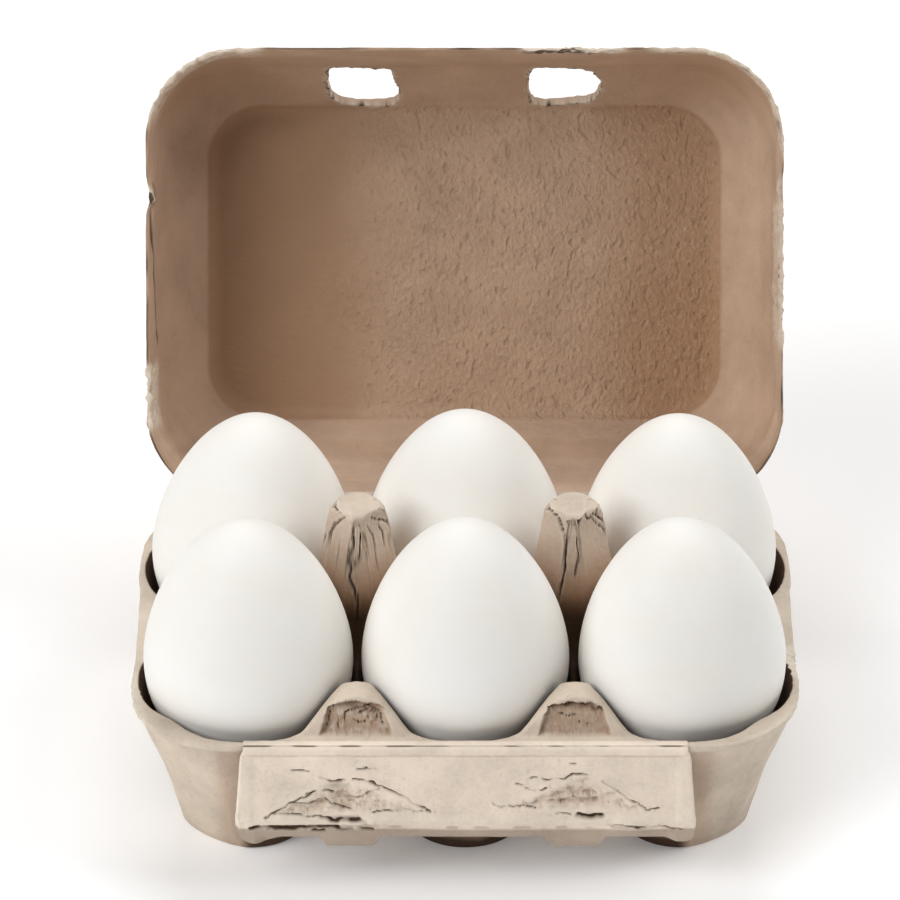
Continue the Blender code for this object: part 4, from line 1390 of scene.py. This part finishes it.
class CARTON_OT_flap(Operator):
    """Make the closing flap with its crumpled hollows, its lip and its two tongues"""

    bl_idname = "carton.flap"
    bl_label = "Make Flap"

    def execute(self, context):
        sizes = context.scene.carton_sizes
        across, down, crease, points, facing = flap_rows()
        flat = points.reshape(-1, 3)
        x = across.reshape(-1)
        d = down.reshape(-1)
        place = np.column_stack([x, d, 0 * x]) * MM
        wobble = 0.38 * noise(place, 1.8, 91) + 0.2 * noise(place, 0.8, 92)
        wobble_down = 0.38 * noise(place, 1.8, 93) + 0.2 * noise(place, 0.8, 94)
        crack, ridge = cracks(x + wobble, d + wobble_down, FLAP_CRACKS)
        faint = 0.30 + 0.70 * ramp(noise(place, (2.2, 1.4, 2.0), 89), -0.5, 0.35)
        crack = crack * faint
        hollow = np.maximum.reduce([
            inside_triangle(x + 2 * wobble, d + 2 * wobble_down, corners, 2.2)
            for corners in FLAP_HOLLOWS
        ])
        crumple = ridged(place, (4.5, 2.2, 5.0), 95) + 0.6 * ridged(place, (1.9, 1.1, 2.0), 96)
        crumple = 1.1 - crumple
        pits = np.zeros(len(x))
        for centre_x, centre_d, half_x, half_d in FLAP_PITS:
            gap = ((x - centre_x) / half_x) ** 2 + ((d - centre_d) / half_d) ** 2
            pits = np.maximum(pits, np.exp(-gap * 1.4))
        roll = np.exp(-((d - crease.reshape(-1) + 1.5) / 1.0) ** 2)
        fold = np.exp(-((d - crease.reshape(-1)) / 0.35) ** 2)
        fold_seam = fold * (0.35 + 0.65 * ramp(-x, 18.0, 24.0)) * ramp(np.abs(x), 47.5, 44.0)
        sides = ramp(np.abs(x), 45.8, 47.6) * ramp(d, 21.5, 18.0)
        lines = noise(place, (6.0, 0.9, 4.0), 97)
        lift = 1.25 * sizes.lump_height * pulp_lumps(place, 12) + 0.05 * MM * lines
        # Painted shade: dark flecks in the hollows, standing for the shade among their crumples.
        crumple_shade = hollow * ramp(ridged(place, (1.5, 0.8, 2.0), 88), 0.88, 0.97)
        lift -= hollow * (0.75 + 1.0 * crumple) * MM
        lift -= 1.15 * MM * (1 - ramp(d, 0.6, 3.0)) ** 2
        lift -= pits * 0.7 * MM
        lift += (0.35 * roll - 0.55 * fold_seam + 0.25 * sides) * MM
        lift += 0.18 * ridge * MM - crack * sizes.crack_depth
        front = flat + facing.reshape(-1, 3) * (FLAP_THICKNESS + lift)[:, None]
        back_lift = np.minimum(-0.55 * hollow, 0.0) * MM * 0.6 + 0.5 * sizes.lump_height * pulp_lumps(place, 13)
        back = flat + facing.reshape(-1, 3) * (0.05 * MM + np.minimum(back_lift, 0.05 * MM))[:, None]
        front = front.reshape(points.shape)
        back = back.reshape(points.shape)
        skin = Skin()
        skin.sheet(front)
        skin.sheet(back)
        sides_out = np.array([1.0, 0.0, 0.0])
        skin.sheet(edge_rows(front[:, 0], back[:, 0], -sides_out))
        skin.sheet(edge_rows(front[:, -1], back[:, -1], sides_out))
        skin.sheet(edge_rows(front[0], back[0], np.array([0.0, 0.0, 1.0]), 0.3))
        skin.sheet(edge_rows(front[-1], back[-1], np.array([0.0, 0.3, -0.95]), 0.5))
        mesh = skin.to_mesh("flap_pulp")
        points, _ = read_points(mesh)
        tree = nearest_finder(np.concatenate([front.reshape(-1, 3), back.reshape(-1, 3)]))
        near = np.array([tree.find(point)[1] for point in points])
        # Painted shade along the fold at the crease, broken in places.
        fold_shade = fold_seam * (0.25 + 0.75 * ramp(noise(place, (3.0, 2.0, 2.0), 98), -0.1, 0.4))
        # Painted shade on the lip below the crease, which faces down.
        past = ramp(d - crease.reshape(-1), 0.0, 0.9)
        marks = {
            # The crack mark is painted as shade: cracks, the fold's shade, the pits, the crumples' shade and
            # the lip's shade.
            "crack": 0.85 * crack + fold_shade * 0.9 + 0.3 * pits + 0.3 * crumple_shade + 0.36 * past,
            # Painted highlight on the rolled edge above the crease and on the rounded sides; paler raised edges
            # beside the cracks.
            "torn": 0.3 * roll + 0.5 * sides + 0.25 * ridge,
            "rough": 0.15 + hollow,
            # Painted shade on the lip and in the hollows, most on their crumples.
            "brown": 0.2 * past + 0.16 * hollow + 0.3 * hollow * ramp(crumple, 0.1, 0.5),
        }
        mark(mesh, {
            name: np.concatenate([np.clip(values, 0, 1), np.zeros(len(x))])[near]
            for name, values in marks.items()
        })
        lay(mesh, np.concatenate([place, place + [0, 0, 0.01]])[near])
        mesh.transform(Matrix.Translation((0.0, FLAP_AXIS_Y, FLAP_AXIS_Z)))
        made = new_piece("flap_pulp", mesh, pulp_finish(context, "flap_pulp"))
        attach(made, "flap")
        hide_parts("flap")
        return {"FINISHED"}


# ---------------------------------------------------------------- living hinges

def hinge_strip(name, path, thickness, half):
    """A thin folded strip along X that follows a path of places to the back and up."""
    path = np.array(path) * MM
    fine = np.linspace(0, len(path) - 1, 4 * len(path))
    smooth = np.column_stack([np.interp(fine, range(len(path)), path[:, k]) for k in (0, 1)])
    for _ in range(3):
        smooth[1:-1] = (smooth[:-2] + 2 * smooth[1:-1] + smooth[2:]) / 4
    slope = unit(np.gradient(smooth, axis=0))
    square = np.column_stack([-slope[:, 1], slope[:, 0]])
    below = smooth - square * thickness
    across = np.linspace(-half, half, 180)

    def rows(line, nudge):
        made = np.zeros((len(line), len(across), 3))
        made[:, :, 0] = across
        made[:, :, 1] = line[:, :1]
        made[:, :, 2] = line[:, 1:]
        flat = made.reshape(-1, 3)
        lumps = 0.12 * MM * pulp_lumps(flat, 15) * nudge
        flat[:, 1:] += np.repeat(square, len(across), axis=0) * lumps[:, None]
        return flat.reshape(made.shape)

    top = rows(smooth, 1.0)
    low = rows(below, -0.3)
    skin = Skin()
    skin.sheet(top)
    skin.sheet(low)
    for row, out in ((0, -slope[0]), (-1, slope[-1])):
        skin.sheet(edge_rows(top[row], low[row], np.array([0.0, out[0], out[1]])))
    for column, out in ((0, -1.0), (-1, 1.0)):
        skin.sheet(edge_rows(top[:, column], low[:, column], np.array([out, 0.0, 0.0])))
    mesh = skin.to_mesh(name)
    points, _ = read_points(mesh)
    return mesh, points


class CARTON_OT_hinges(Operator):
    """Make the living hinges: the folds that join the lid and the flap to the tray"""

    bl_idname = "carton.hinges"
    bl_label = "Make Living Hinges"

    def execute(self, context):
        turn = open_angle()
        up = np.array([-math.cos(turn), math.sin(turn)])
        deep = np.array([math.sin(turn), math.cos(turn)])
        axis = np.array([LID_AXIS_Y, LID_AXIS_Z]) / MM
        lid_path = [(49.0, 36.2), (50.2, 36.5), (51.1, 36.7)]
        for height, depth in ((1.25, 1.0), (1.9, 2.2), (2.3, 3.6)):
            lid_path.append(tuple(axis + up * height + deep * depth))
        flap_path = [(-48.6, 35.6), (-49.5, 36.0), (-50.3, 36.18), (-50.9, 36.14)]
        flap_path += [(-51.3, 35.9), (-51.45, 35.5), (-51.4, 35.1)]
        plans = (
            ("lid_hinge_pulp", lid_path, 51.0 * MM, ("tray", "lid"), 1.05 * MM, 3),
            ("flap_hinge_pulp", flap_path, 48.3 * MM, ("tray", "flap"), 0.8 * MM, 3),
        )
        for name, path, half, bodies, thickness, bend in plans:
            mesh, points = hinge_strip(name, path, thickness, half)
            crack = np.zeros(len(points))
            if bodies[1] == "flap":
                # Painted shade: a dark broken line along the fold of the flap's hinge.
                low = np.exp(-((points[:, 1] / MM + 51.25) / 0.22) ** 2)
                broken = ramp(noise(points, (5.0, 4.0, 4.0), 99), -0.25, 0.35)
                crack = (0.35 + 0.5 * broken) * low
            even = np.ones(len(points))
            mark(mesh, {"crack": crack, "torn": 0.15 * even, "rough": 0.2 * even, "brown": 0 * even})
            lay(mesh, points)
            made = new_piece(name, mesh, pulp_finish(context, name))
            start = (0.0, path[bend - 1][0] * MM + CENTRE_Y, path[bend - 1][1] * MM)
            end = (0.0, path[bend + 1][0] * MM + CENTRE_Y, path[bend + 1][1] * MM)
            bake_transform(made)
        return {"FINISHED"}


# ---------------------------------------------------------------- eggs

def egg_radius(cosine):
    """Radius at one level, as a share of EGG_RADIUS; the cosine is 1 at the upper tip."""
    taper = EGG_TAPER * cosine
    taper = np.where(cosine < 0, taper * (1 + EGG_BLUNTNESS * cosine), taper)
    return np.sqrt(np.maximum(1 - cosine * cosine, 0.0)) * (1 - taper)


def egg_mesh(name, wide, tall, lean, seed):
    """One egg standing on its blunt end, about its seat in the cup."""
    half = EGG_HALF_HEIGHT * (1 + tall) / 2
    middle = EGG_MIDDLE_Z - EGG_SEAT_Z - EGG_HALF_HEIGHT * (1 - tall) / 2
    cosine = np.cos(np.linspace(0, math.pi, EGG_BANDS + 1))[:, None]
    turn = np.linspace(0, 2 * math.pi, EGG_SIDES, endpoint=False)[None, :]
    radius = EGG_RADIUS * wide * egg_radius(cosine)
    rows = np.stack([
        radius * np.cos(turn),
        radius * np.sin(turn),
        middle + half * cosine + 0 * turn,
    ], axis=-1)
    skin = Skin()
    skin.sheet(rows, closed=True)
    mesh = skin.to_mesh(name)
    points, normals = read_points(mesh)
    uneven = 0.10 * noise(points, 22.0, seed) + 0.03 * noise(points, 6.0, seed + 1)
    write_points(mesh, points + normals * (uneven * MM)[:, None])
    lay(mesh, points + seed * 0.1)
    mesh.transform(Matrix.Rotation(math.radians(lean), 4, "Y"))
    return mesh


class CARTON_OT_eggs(Operator):
    """Make the six eggs, each a little different from the next"""

    bl_idname = "carton.eggs"
    bl_label = "Make Eggs"

    def execute(self, context):
        finish = egg_finish(context)
        for row, sign in (("front", -1), ("back", 1)):
            for column, side in enumerate(("left", "middle", "right")):
                node = "egg_" + row + "_" + side
                seed = 100 + 10 * column + (5 if sign > 0 else 0)
                mesh = egg_mesh(node + "_shell", *EGG_VARIATIONS[row][column], seed)
                place = ((column - 1) * PITCH_X, sign * PITCH_Y / 2, EGG_SEAT_Z)
                mesh.transform(Matrix.Translation(place))
                made = new_piece(node + "_shell", mesh, finish)
                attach(made, "tray")
                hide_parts(node)
        return {"FINISHED"}


# ---------------------------------------------------------------- finishes

class Wire:
    """A socket that sums can be written with; each adds its own node."""

    def __init__(self, recipe, socket):
        self.recipe = recipe
        self.socket = socket

    def __add__(self, other):
        return self.recipe.math("ADD", self, other)

    def __radd__(self, other):
        return self.recipe.math("ADD", other, self)

    def __sub__(self, other):
        return self.recipe.math("SUBTRACT", self, other)

    def __rsub__(self, other):
        return self.recipe.math("SUBTRACT", other, self)

    def __mul__(self, other):
        return self.recipe.math("MULTIPLY", self, other)

    def __rmul__(self, other):
        return self.recipe.math("MULTIPLY", other, self)

    def __pow__(self, other):
        return self.recipe.math("POWER", self, other)


class Recipe:
    """A material whose nodes are added by short calls."""

    def __init__(self, name):
        self.material = bpy.data.materials.new(name)
        self.material.use_nodes = True
        self.tree = self.material.node_tree
        self.shader = self.tree.nodes["Principled BSDF"]

    def add(self, kind, settings=None, output=0, **sockets):
        """Add a node, its settings first, then its sockets; returns one output."""
        node = self.tree.nodes.new(kind)
        for name, value in (settings or {}).items():
            if name == "stops":
                self.set_stops(node.color_ramp, value)
            else:
                setattr(node, name, value)
        for name, value in sockets.items():
            self.put(node.inputs[name.replace("_", " ")], value)
        return Wire(self, node.outputs[output])

    def put(self, socket, value):
        """Link a wire to a socket, or set the socket's own value."""
        if isinstance(value, Wire):
            self.tree.links.new(value.socket, socket)
        else:
            socket.default_value = value

    def set_stops(self, colour_ramp, stops):
        while len(colour_ramp.elements) < len(stops):
            colour_ramp.elements.new(0.5)
        for element, (place, shade) in zip(colour_ramp.elements, stops):
            element.position = place
            element.color = (shade, shade, shade, 1.0)

    def math(self, operation, first, second):
        node = self.tree.nodes.new("ShaderNodeMath")
        node.operation = operation
        self.put(node.inputs[0], first)
        self.put(node.inputs[1], second)
        return Wire(self, node.outputs[0])

    def blend(self, share, first, second, how="MIX"):
        """Mix two colours."""
        node = self.tree.nodes.new("ShaderNodeMix")
        node.data_type = "RGBA"
        node.blend_type = how
        self.put(node.inputs["Factor"], share)
        self.put(node.inputs["A"], self.full(first))
        self.put(node.inputs["B"], self.full(second))
        return Wire(self, node.outputs["Result"])

    def full(self, colour):
        if isinstance(colour, Wire):
            return colour
        return (*colour, 1.0)

    def stretch(self, vector, scale):
        """A vector times a scale for each direction."""
        return self.add("ShaderNodeVectorMath", {"operation": "MULTIPLY"},
                        Vector=vector) if scale is None else self.scaled(vector, scale)

    def scaled(self, vector, scale):
        node = self.tree.nodes.new("ShaderNodeVectorMath")
        node.operation = "MULTIPLY"
        self.put(node.inputs[0], vector)
        self.put(node.inputs[1], scale)
        return Wire(self, node.outputs[0])

    def attribute(self, name, output="Fac"):
        return self.add("ShaderNodeAttribute", {"attribute_name": name}, output)

    def cloud(self, vector, scale, detail=3.0, roughness=0.55):
        """Noise about from 0 to 1."""
        return self.add("ShaderNodeTexNoise", None, "Fac", Vector=vector, Scale=scale,
                        Detail=detail, Roughness=roughness)

    def steps(self, value, *stops):
        """Read a value off a ramp of greys."""
        return self.add("ShaderNodeValToRGB", {"stops": stops}, 0, Fac=value)

    def bump(self, height, distance, strength=1.0, before=None):
        sockets = {"Height": height, "Distance": distance, "Strength": strength}
        if before is not None:
            sockets["Normal"] = before
        return self.add("ShaderNodeBump", None, 0, **sockets)


def pulp_finish(context, name):
    """Moulded pulp: mottled, flecked and felted, with painted shade in cracks, folds and hollows, and pale
    where torn or where a highlight is painted.
    """
    look = context.scene.pulp_finish
    # The lid gets a shaded copy and the flap a lit copy of the tray's pulp colour; deep is the painted shade
    # colour that each is blended towards.
    kinds = {"lid_pulp": (look.lid_shaded_colour, look.lid_shade_colour)}
    kinds["flap_pulp"] = (look.flap_lit_colour, look.shade_colour)
    kinds["flap_hinge_pulp"] = kinds["flap_pulp"]
    base, deep = map(tuple, kinds.get(name, (look.tray_colour, look.shade_colour)))
    recipe = Recipe(name)
    place = recipe.attribute("lay", "Vector")
    crack = recipe.attribute("crack")
    torn = recipe.attribute("torn")
    rough = recipe.attribute("rough")
    brown = recipe.attribute("brown")

    mottle = recipe.cloud(place, 70.0, 4.0, 0.6)
    grain = recipe.cloud(place, 900.0, 4.0, 0.6)
    fleck = recipe.steps(recipe.cloud(place, 620.0, 2.0, 0.5), (0.66, 0.0), (0.76, 1.0))
    fibre_place = recipe.scaled(place, (260.0, 900.0, 500.0))
    fibre = recipe.cloud(fibre_place, 1.0, 3.0, 0.6)
    streak_place = recipe.scaled(place, (980.0, 690.0, 800.0))
    streak = recipe.cloud(streak_place, 1.0, 3.0, 0.6)
    pit = recipe.steps(recipe.cloud(streak_place, 0.62, 1.0, 0.4), (0.56, 0.0), (0.72, 1.0))

    dark = tuple(value * 0.84 for value in base)
    pale = tuple(min(1.0, value * 1.10 + 0.015) for value in base)
    colour = recipe.blend(recipe.steps(mottle, (0.35, 0.0), (0.68, 1.0)), dark, pale)
    colour = recipe.blend(recipe.steps(grain, (0.3, 0.0), (0.7, 0.35)), colour, pale)
    # Painted shade, blended towards the shade colour.
    colour = recipe.blend(brown, colour, deep)
    colour = recipe.blend(fleck * 0.28, colour, tuple(value * 0.55 for value in base))
    colour = recipe.blend(rough * pit * 0.20, colour, tuple(value * 0.45 for value in base))
    colour = recipe.blend(rough * recipe.steps(streak, (0.52, 0.0), (0.75, 0.35)), colour, pale)
    # Pale torn fibres, and painted highlights on the flap's edges.
    colour = recipe.blend(torn * recipe.steps(grain, (0.3, 0.45), (0.7, 1.0)), colour,
                          tuple(look.torn_and_highlight_colour))
    # Painted shade in cracks, folds, slots and gaps.
    colour = recipe.blend(recipe.steps(crack, (0.1, 0.0), (0.75, 1.0)), colour,
                          tuple(look.crack_shade_colour))
    recipe.put(recipe.shader.inputs["Base Color"], colour)
    recipe.put(recipe.shader.inputs["Roughness"], 0.86 + grain * 0.12)
    recipe.put(recipe.shader.inputs["Specular IOR Level"], 0.25)

    felt = grain * 0.55 + fibre * 0.6
    lines = rough * (streak * 2.2 - pit * 0.8)
    normal = recipe.bump(felt + lines, 0.00035, 0.8)
    recipe.put(recipe.shader.inputs["Normal"], normal)
    return recipe.material


def egg_finish(context):
    """Matt eggshell, with fine pores and a faint warm mottling."""
    look = context.scene.egg_finish
    recipe = Recipe("eggshell")
    place = recipe.attribute("lay", "Vector")
    mottle = recipe.cloud(place, 60.0, 4.0, 0.6)
    pore = recipe.cloud(place, 1500.0, 2.0, 0.5)
    base = tuple(look.shell_colour)
    warm = (base[0] * 0.985, base[1] * 0.965, base[2] * 0.93)
    colour = recipe.blend(recipe.steps(mottle, (0.35, 0.0), (0.7, 1.0)), base, warm)
    recipe.put(recipe.shader.inputs["Base Color"], colour)
    recipe.put(recipe.shader.inputs["Roughness"], look.roughness + pore * 0.1)
    recipe.put(recipe.shader.inputs["Specular IOR Level"], 0.3)
    recipe.put(recipe.shader.inputs["Normal"], recipe.bump(pore, 0.00006, 0.5))
    return recipe.material


# ---------------------------------------------------------------- stage

def soft_light(name, turn, rise, power, setup):
    """A square soft light; turn is 0 at the front and grows to the right."""
    data = bpy.data.lights.new(name, "AREA")
    data.shape = "SQUARE"
    data.size = setup.light_size
    data.energy = power
    turn = math.radians(turn)
    rise = math.radians(rise)
    towards = Vector((math.sin(turn) * math.cos(rise), -math.cos(turn) * math.cos(rise), math.sin(rise)))
    made = bpy.data.objects.new(name, data)
    made.location = Vector((0.0, 0.0, LIGHT_AIM)) + towards * setup.light_distance
    made.rotation_euler = towards.to_track_quat("Z", "Y").to_euler()
    bpy.context.scene.collection.objects.link(made)
    return made


class CARTON_OT_stage(Operator):
    """Set the floor, the lights, the surround and the camera"""

    bl_idname = "carton.stage"
    bl_label = "Set Stage"

    def execute(self, context):
        setup = context.scene.studio_setup
        mesh = bpy.data.meshes.new("floor")
        reach = 4.0
        corners = [(-reach, -reach, 0.0), (reach, -reach, 0.0), (reach, reach, 0.0), (-reach, reach, 0.0)]
        mesh.from_pydata(corners, [], [(0, 1, 2, 3)])
        recipe = Recipe("floor")
        recipe.put(recipe.shader.inputs["Base Color"], (*setup.floor_colour, 1.0))
        recipe.put(recipe.shader.inputs["Roughness"], 0.9)
        recipe.put(recipe.shader.inputs["Specular IOR Level"], 0.1)
        recipe.put(recipe.shader.inputs["Emission Color"], (1.0, 1.0, 1.0, 1.0))
        recipe.put(recipe.shader.inputs["Emission Strength"], setup.floor_glow)
        mesh.materials.append(recipe.material)
        floor = bpy.data.objects.new("floor", mesh)
        context.scene.collection.objects.link(floor)
        soft_light("key_light", -53, 37, setup.key_power, setup)
        soft_light("side_light", 90, 40, setup.side_power, setup)
        soft_light("back_light", 180, 60, setup.back_power, setup)
        world = bpy.data.worlds.new("surround")
        context.scene.world = world
        world.use_nodes = True
        background = world.node_tree.nodes["Background"]
        background.inputs["Color"].default_value = (1.0, 1.0, 1.0, 1.0)
        background.inputs["Strength"].default_value = setup.world_strength
        data = bpy.data.cameras.new("camera")
        data.lens = setup.lens
        data.sensor_width = 36.0
        data.clip_start = 0.05
        camera = bpy.data.objects.new("camera", data)
        camera.location = setup.camera_place
        aim = Vector(setup.camera_target) - Vector(setup.camera_place)
        camera.rotation_euler = aim.to_track_quat("-Z", "Y").to_euler()
        context.scene.collection.objects.link(camera)
        context.scene.camera = camera
        context.scene.view_settings.view_transform = "Standard"
        return {"FINISHED"}


class CARTON_PT_panel(Panel):
    """Lists the carton's pieces and the main values"""

    bl_idname = "CARTON_PT_panel"
    bl_label = "Egg Carton"
    bl_space_type = "VIEW_3D"
    bl_region_type = "UI"
    bl_category = "Carton"

    def draw(self, context):
        for operator in OPERATORS:
            self.layout.operator(operator.bl_idname)
        for name, group in GROUPS.items():
            box = self.layout.box()
            box.label(text=group.__doc__)
            for value in group.__annotations__:
                box.prop(getattr(context.scene, name), value)


OPERATORS = (
    CARTON_OT_tray,
    CARTON_OT_lid,
    CARTON_OT_flap,
    CARTON_OT_hinges,
    CARTON_OT_eggs,
    CARTON_OT_stage,
)
GROUPS = {
    "carton_sizes": CartonSizes,
    "pulp_finish": PulpFinish,
    "egg_finish": EggFinish,
    "studio_setup": StudioSetup,
}


def register():
    for kind in (*GROUPS.values(), *OPERATORS, CARTON_PT_panel):
        bpy.utils.register_class(kind)
    for name, group in GROUPS.items():
        setattr(bpy.types.Scene, name, PointerProperty(type=group))


def unregister():
    for name in GROUPS:
        delattr(bpy.types.Scene, name)
    for kind in (CARTON_PT_panel, *reversed(OPERATORS), *GROUPS.values()):
        bpy.utils.unregister_class(kind)


def write_sizes():
    """Bring the scene up to date."""
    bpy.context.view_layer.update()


def main():
    register()
    bpy.ops.carton.tray()
    bpy.ops.carton.lid()
    bpy.ops.carton.flap()
    bpy.ops.carton.hinges()
    bpy.ops.carton.eggs()
    bpy.ops.carton.stage()
    write_sizes()


if __name__ == "__main__":
    main()
